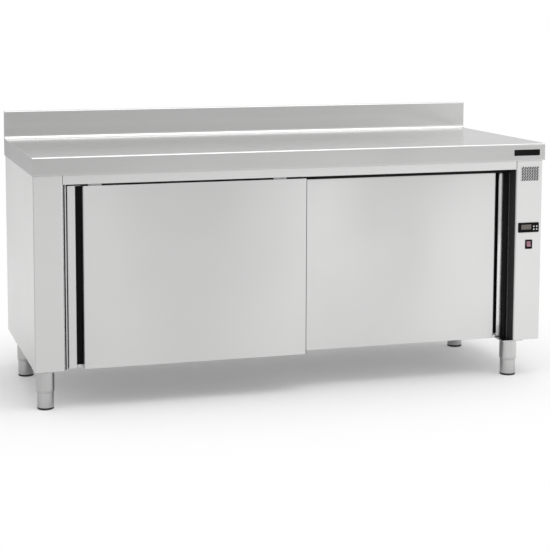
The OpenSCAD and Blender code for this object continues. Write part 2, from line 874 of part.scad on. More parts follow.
// Vent of the control column: staggered rows of slanted slots in a flush plate.
module vent_grille() {
  margin = 2;
  flange = 6;
  slot_l = 10.5;
  bridge = 2;
  row_pitch = (slot_w + bridge) / cos(slot_tilt);
  cols = floor((vent_w - 2 * margin) / slot_pitch);
  rows = floor((vent_h - 2 * margin) / row_pitch);
  color("silver") difference() {
    union() {
      box([vent_x - vent_w / 2, body_front, vent_z - vent_h / 2],
        [vent_x + vent_w / 2, body_front + sheet_t, vent_z + vent_h / 2]);
      box([vent_x - vent_w / 2 - flange, body_front + sheet_t, vent_z - vent_h / 2 - flange],
        [vent_x + vent_w / 2 + flange, body_front + 2 * sheet_t, vent_z + vent_h / 2 + flange]);
    }
    for (i = [0 : cols - 1], j = [0 : rows - 1]) {
      x = vent_x + (i - (cols - 1) / 2) * slot_pitch;
      z = vent_z + (j - (rows - 1) / 2) * row_pitch;
      translate([x, body_front + 3 * sheet_t, z]) rotate([90, -slot_tilt, 0])
        linear_extrude(4 * sheet_t) square([slot_l, slot_w], center = true);
    }
  }
}

// Box of the thermostat behind the panel.
module thermostat_housing() {
  deep = 55;
  color("dimgray") box([column_x - housing_w / 2, body_front, thermostat_z - housing_h / 2],
    [column_x + housing_w / 2, body_front + deep, thermostat_z + housing_h / 2]);
}

// Places a shape drawn across the width and height of the thermostat on the panel's front.
module thermostat_place(out) {
  translate([column_x - thermostat_w / 2, body_front - out, thermostat_z - thermostat_h / 2])
    rotate([90, 0, 0]) children();
}

// Front frame of the thermostat, with the window and the holes for the keys.
module thermostat_bezel() {
  color("black") difference() {
    thermostat_place(0) linear_extrude(bezel_t) rounded_plate(thermostat_w, thermostat_h, 2);
    thermostat_place(bezel_t - pane_t) translate([display_x, display_z, 0])
      cube([display_w, display_h, 2 * pane_t]);
    for (spot = key_spots) translate([spot.x, body_front + 1, spot.y]) rotate([90, 0, 0])
      cylinder(h = bezel_t + 2, r = key_r + 2 * fit);
  }
}

// Pane over the thermostat's digits.
module thermostat_display() {
  color("darkslategray") thermostat_place(bezel_t - pane_t) translate([display_x, display_z, 0])
    translate([fit, fit, 0]) cube([display_w - 2 * fit, display_h - 2 * fit, pane_t]);
}

// One key of the thermostat.
module key(i) {
  color("white") translate([key_spots[i].x, 0, key_spots[i].y])
    depth_pin(body_front - bezel_t - key_out, body_front - key_travel - 0.2, key_r);
}

module key_set() { key(0); }
module key_up() { key(1); }
module key_down() { key(2); }
module key_power() { key(3); }

// Housing of the rocker switch: rim on the panel, hollow body behind it, holes for the pivot.
module switch_housing() {
  rim_t = 2;
  deep = 24;
  wall = 1.2;
  color("black") difference() {
    union() {
      translate([switch_x - switch_w / 2, body_front, switch_z - switch_h / 2]) rotate([90, 0, 0])
        linear_extrude(rim_t) rounded_plate(switch_w, switch_h, 1.5);
      box([switch_x - switch_body_w / 2, body_front, switch_z - switch_body_h / 2],
        [switch_x + switch_body_w / 2, body_front + deep, switch_z + switch_body_h / 2]);
    }
    box([switch_x - switch_body_w / 2 + wall, body_front - rim_t - 1, switch_z - switch_body_h / 2 + wall],
      [switch_x + switch_body_w / 2 - wall, body_front + deep - wall, switch_z + switch_body_h / 2 - wall]);
    translate([switch_x - switch_w / 2, pivot_y, switch_z]) rotate([0, 90, 0])
      cylinder(h = switch_w, r = pivot_r + fit);
  }
}

// Rocker with its pivot pins, resting in its off position.
module switch_rocker() {
  wide = switch_body_w - 3;
  half_h = switch_body_h / 2 - 3;
  out = 8;
  dish = 1.5;
  color("firebrick") translate([switch_x, pivot_y, switch_z]) rotate([-rocker_tilt, 0, 0]) {
    translate([-wide / 2, 0, 0]) rotate([90, 0, 90]) linear_extrude(wide) polygon([
      [-out, half_h], [dish - out, 0], [-out, -half_h], [1, 4 - half_h], [3.5, 0], [1, half_h - 4]
    ]);
    translate([-switch_body_w / 2 + 0.4, 0, 0]) rotate([0, 90, 0])
      cylinder(h = switch_body_w - 0.8, r = pivot_r);
  }
}

// Turns a shape drawn round the fan's axis, the axis pointing to the right.
module fan_place(x) {
  translate([x, fan_y, fan_z]) rotate([90, 0, 90]) children();
}

// Place of one leg of the heating element.
module heater_leg_place(side) {
  translate([0, fan_y + side * heater_r * sin(heater_gap), fan_z - heater_r * cos(heater_gap)])
    rotate([0, 90, 0]) children();
}

// Fan motor on four standoffs, with the bearing bore for the shaft.
module fan_motor() {
  motor_r = 36;
  motor_l = 52;
  plate = 92;
  plate_t = 3;
  foot_l = 8;
  color("gray") fan_place(open_right + sheet_t) difference() {
    union() {
      translate([0, 0, foot_l]) cylinder(h = motor_l, r = motor_r);
      translate([-plate / 2, -plate / 2, foot_l]) cube([plate, plate, plate_t]);
      for (a = [-1, 1], b = [-1, 1]) translate([a * (plate / 2 - 7), b * (plate / 2 - 7), 0])
        cylinder(h = foot_l, r = 5);
    }
    translate([0, 0, foot_l - 1]) cylinder(h = shaft_in + 1.5 - foot_l, r = shaft_r + fit);
  }
}

// Angle, on a blade's own circle, of the point that lies at distance r from the fan's axis.
function blade_angle(r, away, bow) = acos((r * r - away * away - bow * bow) / (2 * away * bow));

// Fan wheel: back plate, hub, curved blades, front ring and the shaft it is fixed to.
module fan_wheel() {
  disc_t = 1.5;
  blade_t = 1.2;
  root = 0.2;
  hub_r = 11;
  hub_l = 16;
  inner_r = 0.62 * fan_r;
  away = 0.7 * fan_r;
  bow = 0.42 * fan_r;
  low = blade_angle(fan_r - 2, away, bow);
  high = blade_angle(inner_r + 2, away, bow);
  color("lightgray") fan_place(open_right - fan_room) mirror([0, 0, 1]) {
    cylinder(h = disc_t, r = fan_r);
    cylinder(h = hub_l, r = hub_r);
    for (i = [0 : fan_blades - 1]) rotate([0, 0, i * 360 / fan_blades])
      translate([away, 0, disc_t - root]) rotate([0, 0, low]) rotate_extrude(angle = high - low)
        translate([bow - blade_t / 2, 0]) square([blade_t, fan_w - 2 * disc_t + 2 * root]);
    translate([0, 0, fan_w - disc_t]) difference() {
      cylinder(h = disc_t, r = fan_r);
      translate([0, 0, -1]) cylinder(h = disc_t + 2, r = inner_r);
    }
    translate([0, 0, -fan_room - sheet_t - shaft_in])
      cylinder(h = fan_room + sheet_t + shaft_in + hub_l + 2, r = shaft_r);
  }
}

// Tubular heating element: an open ring with two legs through the wall.
module heating_element() {
  leg_l = heater_room + sheet_t + 20;
  color("saddlebrown") {
    fan_place(open_right - heater_room) rotate([0, 0, heater_gap - 90])
      rotate_extrude(angle = 360 - 2 * heater_gap) translate([heater_r, 0]) circle(heater_tube_r);
    for (side = [-1, 1]) translate([open_right - heater_room, 0, 0]) heater_leg_place(side) {
      sphere(heater_tube_r + 0.3);
      cylinder(h = leg_l, r = heater_tube_r);
    }
  }
}

// Cover over the fan and the heater: holes for the air that goes in, slots for what comes out.
module air_duct() {
  hole_r = 4;
  slots = 8;
  rings = [[0, 1], [16, 6], [30, 12], [44, 18]];
  slot_step = duct_h / slots;
  low = [open_right - duct_d, fan_y - duct_w / 2, fan_z - duct_h / 2];
  high = [open_right, fan_y + duct_w / 2, fan_z + duct_h / 2];
  wall = [sheet_t, sheet_t, sheet_t];
  color("gainsboro") difference() {
    box(low, high);
    box(low + wall, [high.x + 1, high.y - sheet_t, high.z - sheet_t]);
    for (ring = rings, i = [0 : ring[1] - 1]) fan_place(low.x - 1)
      rotate([0, 0, i * 360 / ring[1]]) translate([ring[0], 0, 0])
        cylinder(h = sheet_t + 2, r = hole_r);
    for (i = [0 : slots - 1]) {
      z = low.z + (i + 0.25) * slot_step;
      box([low.x + 12, low.y - 1, z], [high.x - 12, high.y + 1, z + slot_step / 2]);
    }
  }
}

// Terminal block on the outer face of the cavity wall.
module terminal_block() {
  long = 72;
  deep = 20;
  high = 24;
  side = 70;
  poles = 6;
  color("beige") difference() {
    translate([open_right + sheet_t, fan_y + side, base_z + side]) cube([deep, long, high]);
    for (i = [0 : poles - 1])
      translate([open_right + sheet_t + deep, fan_y + side + long * (i + 0.5) / poles,
        base_z + side + high / 2])
        rotate([0, 90, 0]) cylinder(h = high / 2, r = high / 7, center = true);
  }
}

// Gland in the back for the supply cord: body, lock nut inside, dome outside.
module cable_gland() {
  color("dimgray") translate([gland_x, 0, gland_z]) difference() {
    union() {
      depth_pin(body_back - 10, body_back + 4, gland_r);
      depth_pin(body_back, body_back + 4, gland_r + 4, 6);
      depth_pin(body_back + 4, body_back + 11, gland_r);
      depth_pin(body_back - sheet_t - 4, body_back - sheet_t, gland_r + 4, 6);
    }
    depth_pin(body_back - 11, body_back + 12, gland_r - 4);
  }
}

// Pan-head screws that hold the back panel to the hems and the stiffeners' end.
module back_panel_screws() {
  head_r = 4.5;
  head_h = 2.5;
  across = 7;
  rows = 3;
  edge = 8;
  color("lightgray") {
    for (x = [body_left + edge, body_right - edge], j = [0 : rows]) {
      z = base_z + edge + 12 + j * (body_h - lip_h - 2 * (edge + 12)) / rows;
      translate([x, 0, z]) depth_pin(body_back, body_back + head_h, head_r);
    }
    for (i = [1 : across - 1]) {
      x = body_left + i * (body_right - body_left) / across;
      translate([x, 0, base_z + edge]) depth_pin(body_back, body_back + head_h, head_r);
    }
  }
}

worktop();
worktop_stiffeners();
nameplate();
left_side_panel();
left_liner();
right_side_panel();
control_panel();
right_liner();
back_panel();
back_liner();
base_tray();
end_bases();
floor_liner();
ceiling_liner();
door_rail();
overhead_track();
rubber_bumpers();
door_guide();
seal_carriers();
door_seals();
shelf_supports();
shelf_rails();
left_shelf();
right_shelf();
left_door_skin();
left_door_back();
left_door_hangers();
right_door_skin();
right_door_back();
right_door_hangers();
left_roller_a();
left_roller_b();
right_roller_a();
right_roller_b();
leg_tubes();
front_left_foot();
front_right_foot();
back_left_foot();
back_right_foot();
front_left_pad();
front_right_pad();
back_left_pad();
back_right_pad();
vent_grille();
thermostat_housing();
thermostat_bezel();
thermostat_display();
key_set();
key_up();
key_down();
key_power();
switch_housing();
switch_rocker();
fan_motor();
fan_wheel();
heating_element();
air_duct();
terminal_block();
cable_gland();
back_panel_screws();
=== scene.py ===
"""Looks, small fittings and a plain studio for a heated plate cabinet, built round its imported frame."""

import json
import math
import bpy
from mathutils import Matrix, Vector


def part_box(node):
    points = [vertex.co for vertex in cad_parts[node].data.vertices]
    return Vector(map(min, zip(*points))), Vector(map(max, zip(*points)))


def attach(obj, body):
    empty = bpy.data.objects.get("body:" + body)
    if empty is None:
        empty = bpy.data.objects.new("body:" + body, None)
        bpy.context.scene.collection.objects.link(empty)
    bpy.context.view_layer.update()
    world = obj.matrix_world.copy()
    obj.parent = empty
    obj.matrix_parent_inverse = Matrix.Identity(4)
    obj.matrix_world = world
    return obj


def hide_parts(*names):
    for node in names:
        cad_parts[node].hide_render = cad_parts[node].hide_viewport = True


bl_info = {
    "name": "Plate Warmer Cabinet",
    "version": (1, 0, 0),
    "blender": (4, 5, 0),
    "location": "3D View > Sidebar > Cabinet",
    "description": "Finishes, small fittings and a plain studio for a heated plate cabinet",
    "category": "Object",
}

import bmesh
import bpy
from mathutils import Vector

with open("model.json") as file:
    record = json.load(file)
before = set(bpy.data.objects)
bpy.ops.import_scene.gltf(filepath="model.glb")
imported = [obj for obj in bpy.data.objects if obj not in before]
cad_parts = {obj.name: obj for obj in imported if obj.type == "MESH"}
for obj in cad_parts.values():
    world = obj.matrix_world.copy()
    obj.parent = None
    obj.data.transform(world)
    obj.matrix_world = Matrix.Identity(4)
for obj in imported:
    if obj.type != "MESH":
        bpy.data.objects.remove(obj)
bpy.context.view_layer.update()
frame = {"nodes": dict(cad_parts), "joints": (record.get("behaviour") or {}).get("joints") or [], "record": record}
NODES = frame["nodes"]
JOINTS = {joint["name"]: joint for joint in frame["joints"]}
SEAL_TUBE_ROOM = (0.0048, 0.0032)
SEAL_TUBE_PROUD = 0.004
STRIP_GAP = 0.003
STRIP_BAND = (0.005, 0.048)
BRUSH_DROP = (0.015, 0.018, 0.026)
PULL_FLOOR = 0.0142
PULL_LINER_ROOM = 0.0009
PLATE_RIM = 0.0012
ROCKER_REACH = 0.0078
ROCKER_MARGIN = 0.0037
ROCKER_DEEP = 0.0035
LENS_EDGE = 0.0013
LENS_PROUD = 0.0005
LENS_FRONT = -0.005
DIGITS = 3
STILE_OVER_FLOOR = 0.0145
STILE_WEDGE = (0.0004, 0.0028)
VENT_FLANGE = 0.006
VENT_SLOT = (0.0124, 0.0046)
VENT_PITCH = (0.0094, 0.0099)
VENT_COUNT = (7, 5)
VENT_TILT = math.radians(52)
FOOTPRINT = (0.9, 0.34, 0)
SMOOTH = {"interpolation_type": "SMOOTHSTEP"}
ROCK_ANGLE = math.radians(9)
FRONT = Vector((0, -1, 0))
BACK = Vector((0, 1, 0))


def length(name, description, low, high, default):
    """Setting that is a length in metres."""
    return bpy.props.FloatProperty(name=name, description=description, subtype="DISTANCE", unit="LENGTH",
                                   min=low, max=high, default=default)


def amount(name, description, default, high=1):
    """Setting that runs from 0 to a limit."""
    return bpy.props.FloatProperty(name=name, description=description, min=0, max=high, default=default)


def power(name, description, default):
    """Setting that is the power of a lamp."""
    return bpy.props.FloatProperty(name=name, description=description, subtype="POWER", unit="POWER",
                                   min=0, default=default)


class SteelLook(bpy.types.PropertyGroup):
    """Colour and polish of the sheet steel."""

    tint: bpy.props.FloatVectorProperty(
        name="Steel colour", description="Colour of clean stainless sheet",
        subtype="COLOR", size=3, min=0, max=1, default=(0.77, 0.77, 0.765))
    worktop_roughness: amount(
        "Worktop roughness", "How matt the worktop is", 0.2)
    panel_roughness: amount(
        "Panel roughness", "How matt the doors and sides are", 0.34)
    grain: amount(
        "Grain", "Depth of the brushed grain", 0.05)
    waves: amount(
        "Waves", "How uneven the polish of the big sheets looks", 0.04, 0.2)
    # Depth of the painted reflection shade: soft dark upright bands on the doors, stronger towards their top.
    bands: amount(
        "Reflection bands", "Depth of the soft upright bands on the doors", 0.15, 0.4)
    # Strength of the painted shade that darkens the tight corners of the steel, found by ambient occlusion.
    corner_shade: amount(
        "Corner shade", "How dark the tight corners of the sheets are", 0.6)
    edge_radius: length(
        "Edge radius", "Radius of the bends and edges that catch the light", 0, 0.004, 0.0014)


class FittingSizes(bpy.types.PropertyGroup):
    """Sizes of the small fittings that are modelled here."""

    rocker_dish: length(
        "Rocker dish", "Depth of the dip across the rocker", 0, 0.003, 0.0016)
    rocker_edge: length(
        "Rocker edge", "Radius of the rocker's edges", 0.0002, 0.002, 0.0008)
    key_crown: length(
        "Key crown", "Height of the crown of a key", 0, 0.001, 0.0003)
    plate_edge: length(
        "Plate edge", "Radius of the edge of the blank plate", 0.0001, 0.0006, 0.0003)
    screw_slot: length(
        "Screw slot", "Width of one slot of a cross recess", 0.0005, 0.002, 0.001)
    seal_nose: bpy.props.FloatProperty(
        name="Seal nose", description="Radius of the nose of a door seal, as a share of its width",
        subtype="FACTOR", min=0.1, max=0.49, default=0.45)
    # The liner is a black piece that stands for the shade in the finger pull.
    liner_wall: length(
        "Liner wall", "Thickness of the liner in a finger pull", 0.0004, 0.002, 0.0008)
    # These strips are near black and also stand for the shade beside the doors.
    strip_thick: length(
        "Strip thickness", "Thickness of the buffer strips beside the doors", 0.0005, 0.002, 0.0011)
    pleats: bpy.props.IntProperty(
        name="Pleats", description="Pleats of the dust filter behind the vent", min=2, max=30, default=12)


class StudioLook(bpy.types.PropertyGroup):
    """Camera, lamps and backdrop."""

    camera_place: bpy.props.FloatVectorProperty(
        name="Camera place", description="Where the camera stands", subtype="XYZ", size=3,
        unit="LENGTH", default=(-1.5658, -5.0142, 1.3188))
    camera_yaw: bpy.props.FloatProperty(
        name="Camera yaw", description="Turn of the camera to the right of straight ahead",
        subtype="ANGLE", unit="ROTATION", default=math.radians(15.978))
    camera_pitch: bpy.props.FloatProperty(
        name="Camera pitch", description="Tilt of the camera below level",
        subtype="ANGLE", unit="ROTATION", default=math.radians(6.256))
    lens: bpy.props.FloatProperty(
        name="Lens", description="Focal length on a 36 mm sensor", subtype="DISTANCE_CAMERA",
        min=20, max=300, default=96.91)
    shift_x: bpy.props.FloatProperty(
        name="Shift across", description="Sideways shift of the lens, in frame widths", default=0.0727)
    shift_y: bpy.props.FloatProperty(
        name="Shift up", description="Upward shift of the lens, in frame widths", default=-0.2)
    top_lamp: power("Top lamp", "Power of the lamp over the cabinet", 52)
    right_lamp: power("Right lamp", "Power of the lamp at the right", 6)
    left_lamp: power("Left lamp", "Power of the lamp behind the left end", 6)


def deselect():
    """Leaves nothing selected and edit mode closed."""
    if bpy.context.object and bpy.context.object.mode != "OBJECT":
        bpy.ops.object.mode_set(mode="OBJECT")
    bpy.ops.object.select_all(action="DESELECT")


def activate(piece):
    """Selects one piece alone and makes it active."""
    deselect()
    piece.select_set(True)
    bpy.context.view_layer.objects.active = piece


def settle(piece, name):
    """Names a piece and puts its place into its mesh."""
    piece.name = name
    piece.data.name = name
    activate(piece)
    bpy.ops.object.transform_apply(location=True, rotation=True, scale=True)
    return piece


def block(name, low, high):
    """Box between two corners, to be shaped further."""
    low, high = Vector(low), Vector(high)
    deselect()
    bpy.ops.mesh.primitive_cube_add(size=1, location=(low + high) / 2)
    piece = bpy.context.object
    piece.scale = high - low
    return settle(piece, name)


def rod(name, start, direction, length, radius, sides=32):
    """Round bar from a point along a direction, to be shaped further."""
    direction = Vector(direction).normalized()
    turn = direction.to_track_quat("Z", "Y").to_euler()
    deselect()
    bpy.ops.mesh.primitive_cylinder_add(
        vertices=sides, radius=radius, depth=length,
        location=Vector(start) + direction * length / 2, rotation=turn)
    return settle(bpy.context.object, name)


def pick(piece, kind, keep):
    """Opens edit mode and selects the faces or edges for which keep is true."""
    activate(piece)
    bpy.ops.object.mode_set(mode="EDIT")
    bpy.ops.mesh.select_mode(type=kind)
    bpy.ops.mesh.select_all(action="DESELECT")
    mesh = bmesh.from_edit_mesh(piece.data)
    for item in mesh.faces if kind == "FACE" else mesh.edges:
        item.select_set(bool(keep(item)))
    mesh.select_flush_mode()
    bmesh.update_edit_mesh(piece.data)


def done(piece):
    """Closes edit mode."""
    bpy.ops.object.mode_set(mode="OBJECT")
    return piece


def facing(direction):
    """Test for faces that look along a direction."""
    direction = Vector(direction)
    return lambda face: face.normal.dot(direction) > 0.9


def set_faces(piece, direction, *steps):
    """Insets the faces that look along a direction and shifts them, for each pair of inset and shift."""
    pick(piece, "FACE", facing(direction))
    for inset, shift in steps:
        bpy.ops.mesh.inset(thickness=inset)
        if shift:
            bpy.ops.transform.translate(value=shift)
    return done(piece)


def along(axis):
    """Test for edges that run along an axis, 0 to 2."""
    def test(edge):
        line = edge.verts[1].co - edge.verts[0].co
        return abs(line[axis]) > 0.99 * line.length
    return test


def modify(piece, kind, **settings):
    """Adds a modifier with its settings and applies it."""
    activate(piece)
    modifier = piece.modifiers.new(kind.title(), kind)
    for name, value in settings.items():
        setattr(modifier, name, value)
    bpy.ops.object.modifier_apply(modifier=modifier.name)
    return piece


def soften(piece, width, segments=3, angle=40):
    """Rounds the sharp edges of a piece and smooths its shading."""
    modify(piece, "BEVEL", width=width, segments=segments, limit_method="ANGLE",
           angle_limit=math.radians(angle), use_clamp_overlap=True)
    activate(piece)
    bpy.ops.object.shade_smooth_by_angle(angle=math.radians(40))
    return piece


def cut(piece, tool):
    """Cuts one closed shape out of another and removes the tool."""
    modify(piece, "BOOLEAN", operation="DIFFERENCE", object=tool, solver="EXACT")
    bpy.data.objects.remove(tool)
    return piece


def join(pieces, name):
    """Joins pieces into one."""
    deselect()
    for piece in pieces:
        piece.select_set(True)
    bpy.context.view_layer.objects.active = pieces[0]
    bpy.ops.object.join()
    return settle(bpy.context.object, name)


def copy_of(piece, place):
    """Copy of a piece with its own mesh, moved by a vector."""
    copy = piece.copy()
    copy.data = piece.data.copy()
    bpy.context.collection.objects.link(copy)
    copy.location = place
    return copy


def fit(piece, body, slot, *nodes, finish=None):
    """Gives a piece the material of its slot, or of another finish where one is named, parents it to its body and
    hides the nodes that it stands for. It wears the slot's finish or another.
    """
    piece.data.materials.clear()
    piece.data.materials.append(bpy.data.materials[finish or slot])
    if nodes:
        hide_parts(*nodes)
    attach(piece, body)
    return piece


def islands(node):
    """Lowest and highest corner of each separate solid of a CAD node."""
    mesh = bmesh.new()
    mesh.from_mesh(NODES[node].data)
    bmesh.ops.remove_doubles(mesh, verts=mesh.verts, dist=1e-6)
    found, seen = [], set()
    for seed in mesh.verts:
        if seed in seen:
            continue
        group, queue = [], [seed]
        seen.add(seed)
        while queue:
            vert = queue.pop()
            group.append(vert.co.copy())
            for edge in vert.link_edges:
                other = edge.other_vert(vert)
                if other not in seen:
                    seen.add(other)
                    queue.append(other)
        found.append((Vector(min(p[i] for p in group) for i in range(3)),
                      Vector(max(p[i] for p in group) for i in range(3))))
    mesh.free()
    return sorted(found, key=lambda corners: corners[0].x)


def joint_point(name):
    """Pivot of a joint."""
    return Vector(JOINTS[name]["pos_m"])


def node_tree(name, inputs, outputs):
    """Empty shader group with named sockets, and its two end nodes."""
    group = bpy.data.node_groups.new(name, "ShaderNodeTree")
    for label, kind, value in inputs:
        socket = group.interface.new_socket(name=label, in_out="INPUT", socket_type=kind)
        if value is not None:
            socket.default_value = value
    for label, kind in outputs:
        group.interface.new_socket(name=label, in_out="OUTPUT", socket_type=kind)
    return group, group.nodes.new("NodeGroupInput"), group.nodes.new("NodeGroupOutput")


def feed(tree, socket, value):
    """Links an input to a socket, or sets it to a value."""
    if isinstance(value, bpy.types.NodeSocket):
        tree.links.new(value, socket)
    elif value is not None:
        socket.default_value = value


def add_node(tree, kind, settings=None, *parts, **values):
    """New node with its properties, its inputs in order, and inputs by name with _ for a space."""
    node = tree.nodes.new("ShaderNode" + kind)
    for name, value in (settings or {}).items():
        setattr(node, name, value)
    for socket, value in zip(node.inputs, parts):
        feed(tree, socket, value)
    for name, value in values.items():
        feed(tree, node.inputs[name.replace("_", " ")], value)
    return node


def math_node(tree, operation, first, second=None):
    """Math node on two values or sockets."""
    return add_node(tree, "Math", {"operation": operation}, first, second).outputs[0]


def sheet_edges():
    """Shader group: rounded normals at edges, a mask of the edges for a painted highlight and a mask of the tight
    corners for painted shade.
    """
    group, start, end = node_tree(
        "Sheet edges",
        [("Radius", "NodeSocketFloat", 0.0014), ("Reach", "NodeSocketFloat", 0.007)],
        [("Normal", "NodeSocketVector"), ("Edge", "NodeSocketFloat"), ("Corner", "NodeSocketFloat")])
    links = group.links
    rounded = add_node(group, "Bevel", {"samples": 6}, Radius=start.outputs["Radius"])
    links.new(rounded.outputs[0], end.inputs["Normal"])
    surface = group.nodes.new("ShaderNodeNewGeometry")
    turned = add_node(group, "VectorMath", {"operation": "DOT_PRODUCT"}, rounded.outputs[0],
                      surface.outputs["Normal"])
    # The Edge mask feeds a painted highlight in the steel colour; the rounded normal itself is real shading.
    edge = add_node(group, "MapRange", Value=turned.outputs["Value"], From_Min=1.0, From_Max=0.85)
    links.new(edge.outputs[0], end.inputs["Edge"])
    # The Corner mask feeds painted shade in the steel's tight corners.
    open_sky = add_node(group, "AmbientOcclusion", {"samples": 8}, Distance=start.outputs["Reach"])
    corner = add_node(group, "MapRange", SMOOTH, Value=open_sky.outputs["AO"], From_Min=0.95, From_Max=0.35)
    links.new(corner.outputs[0], end.inputs["Corner"])
    return group


def painted_reflection_bands():
    """Shader group: painted reflection shade, wide upright dark bands across a sheet, stronger towards its top."""
    group, start, end = node_tree(
        "Painted reflection bands",
        [("Vector", "NodeSocketVector", None), ("Period", "NodeSocketFloat", 0.77),
         ("Middle", "NodeSocketFloat", -0.38)],
        [("Mask", "NodeSocketFloat")])
    links = group.links
    sides = add_node(group, "SeparateXYZ", None, start.outputs["Vector"])
    drift = add_node(group, "TexNoise", Vector=start.outputs["Vector"], Scale=1.6, Detail=1.0)
    wander = math_node(group, "MULTIPLY", math_node(group, "SUBTRACT", drift.outputs["Fac"], 0.5), 0.5)
    across = math_node(group, "SUBTRACT", sides.outputs["X"], start.outputs["Middle"])
    turn = math_node(group, "DIVIDE", math_node(group, "ADD", across, wander), start.outputs["Period"])
    wave = math_node(group, "COSINE", math_node(group, "MULTIPLY", turn, 2 * math.pi))
    dark = math_node(group, "ADD", math_node(group, "MULTIPLY", wave, 0.5), 0.5)
    # Painted shade: the bands grow stronger towards the top of the sheet.
    tall = add_node(group, "MapRange", SMOOTH, Value=sides.outputs["Z"],
                    From_Min=0.1, From_Max=0.75, To_Min=0.35, To_Max=1.0)
    links.new(math_node(group, "MULTIPLY", dark, tall.outputs[0]), end.inputs["Mask"])
    return group


def brushed_grain():
    """Shader group: streaks of brushed sheet, fine and broad, stretched by the Grain vector."""
    group, start, end = node_tree(
        "Brushed grain",
        [("Vector", "NodeSocketVector", None), ("Grain", "NodeSocketVector", (3.0, 240.0, 240.0)),
         ("Broad", "NodeSocketFloat", 0.35)],
        [("Streak", "NodeSocketFloat"), ("Height", "NodeSocketFloat"), ("Wave", "NodeSocketFloat")])
    links = group.links
    stretch = add_node(group, "VectorMath", {"operation": "MULTIPLY"}, start.outputs["Vector"],
                       start.outputs["Grain"]).outputs[0]
    fine = add_node(group, "TexNoise", Vector=stretch, Scale=1.0, Detail=1.0, Roughness=0.5)
    broad = add_node(group, "TexNoise", Vector=stretch, Scale=0.2, Detail=2.0, Roughness=0.5)
    mixed = add_node(group, "Mix", {"data_type": "FLOAT"})
    links.new(start.outputs["Broad"], mixed.inputs[0])
    links.new(fine.outputs["Fac"], mixed.inputs[2])
    links.new(broad.outputs["Fac"], mixed.inputs[3])
    links.new(mixed.outputs[0], end.inputs["Streak"])
    links.new(fine.outputs["Fac"], end.inputs["Height"])
    wave = add_node(group, "TexNoise", Vector=stretch, Scale=0.014, Detail=1.0, Roughness=0.4)
    even = add_node(group, "MapRange", Value=wave.outputs["Fac"], From_Min=0.3, From_Max=0.7)
    links.new(even.outputs[0], end.inputs["Wave"])
    return group


def handling_marks():
    """Shader group: wide, soft patches where hands and cloths have passed."""
    group, start, end = node_tree(
        "Handling marks",
        [("Vector", "NodeSocketVector", None), ("Scale", "NodeSocketFloat", 5.0),
         ("Spread", "NodeSocketFloat", 0.5)],
        [("Mask", "NodeSocketFloat")])
    links = group.links
    patches = add_node(group, "TexNoise", Vector=start.outputs["Vector"], Scale=start.outputs["Scale"],
                       Detail=2.0, Roughness=0.5, Distortion=0.3)
    low = math_node(group, "SUBTRACT", 0.5, math_node(group, "MULTIPLY", start.outputs["Spread"], 0.3))
    high = math_node(group, "ADD", 0.5, math_node(group, "MULTIPLY", start.outputs["Spread"], 0.3))
    ranged = add_node(group, "MapRange", SMOOTH, Value=patches.outputs["Fac"], From_Min=low, From_Max=high)
    links.new(ranged.outputs[0], end.inputs["Mask"])
    return group


def moulded_texture():
    """Shader group: the fine spark-eroded texture of moulded plastic and rubber."""
    group, start, end = node_tree(
        "Moulded texture",
        [("Vector", "NodeSocketVector", None), ("Scale", "NodeSocketFloat", 1500.0)],
        [("Height", "NodeSocketFloat"), ("Mask", "NodeSocketFloat")])
    links = group.links
    pits = add_node(group, "TexVoronoi", {"feature": "SMOOTH_F1"}, Smoothness=0.7)
    cloud = add_node(group, "TexNoise", Detail=2.0)
    for node in (pits, cloud):
        links.new(start.outputs["Vector"], node.inputs["Vector"])
    links.new(start.outputs["Scale"], pits.inputs["Scale"])
    links.new(math_node(group, "MULTIPLY", start.outputs["Scale"], 0.08), cloud.inputs["Scale"])
    links.new(pits.outputs["Distance"], end.inputs["Height"])
    links.new(cloud.outputs["Fac"], end.inputs["Mask"])
    return group


def new_material(name, color, metallic, roughness, **plain):
    """Material that takes the place of the frame's flat one; returns it, its tree, shader and coordinates."""
    flat = bpy.data.materials.get(name)
    if flat:
        bpy.data.materials.remove(flat)
    material = bpy.data.materials.new(name)
    material.use_nodes = True
    tree = material.node_tree
    shader = tree.nodes["Principled BSDF"]
    shader.inputs["Base Color"].default_value = (*color, 1)
    shader.inputs["Metallic"].default_value = metallic
    shader.inputs["Roughness"].default_value = roughness
    for label, value in plain.items():
        shader.inputs[label.replace("_", " ")].default_value = value
    place = tree.nodes.new("ShaderNodeTexCoord")
    return material, tree, shader, place.outputs["Object"]


def place_group(tree, group, vector=None, **values):
    """Group node with its own values, fed with a vector where it takes one."""
    node = tree.nodes.new("ShaderNodeGroup")
    node.node_tree = group
    if vector:
        tree.links.new(vector, node.inputs["Vector"])
    for label, value in values.items():
        node.inputs[label].default_value = value
    return node


def blend(tree, factor, first, second):
    """Colour that runs from the first to the second by a factor; each is a colour or a socket."""
    mixed = add_node(tree, "Mix", {"data_type": "RGBA"})
    tree.links.new(factor, mixed.inputs[0])
    for socket, color in ((mixed.inputs[6], first), (mixed.inputs[7], second)):
        feed(tree, socket, color if isinstance(color, bpy.types.NodeSocket) else (*color, 1))
    return mixed.outputs[2]


def shade_between(tree, factor, dark, light, socket):
    """Feeds a socket with a colour that runs from dark to light by a factor."""
    tree.links.new(blend(tree, factor, dark, light), socket)


def vary(tree, factor, low, high, socket):
    """Number that runs from low to high by a factor."""
    ranged = add_node(tree, "MapRange", Value=factor, To_Min=low, To_Max=high)
    tree.links.new(ranged.outputs[0], socket)


def bump(tree, height, strength, distance, socket, normal=None):
    """Bump from a height, on the surface's own normal or another one."""
    node = add_node(tree, "Bump", Strength=strength, Distance=distance, Height=height, Normal=normal)
    tree.links.new(node.outputs[0], socket)


def scaled(color, share):
    """Colour made lighter or darker."""
    return tuple(min(1.0, channel * share) for channel in color)


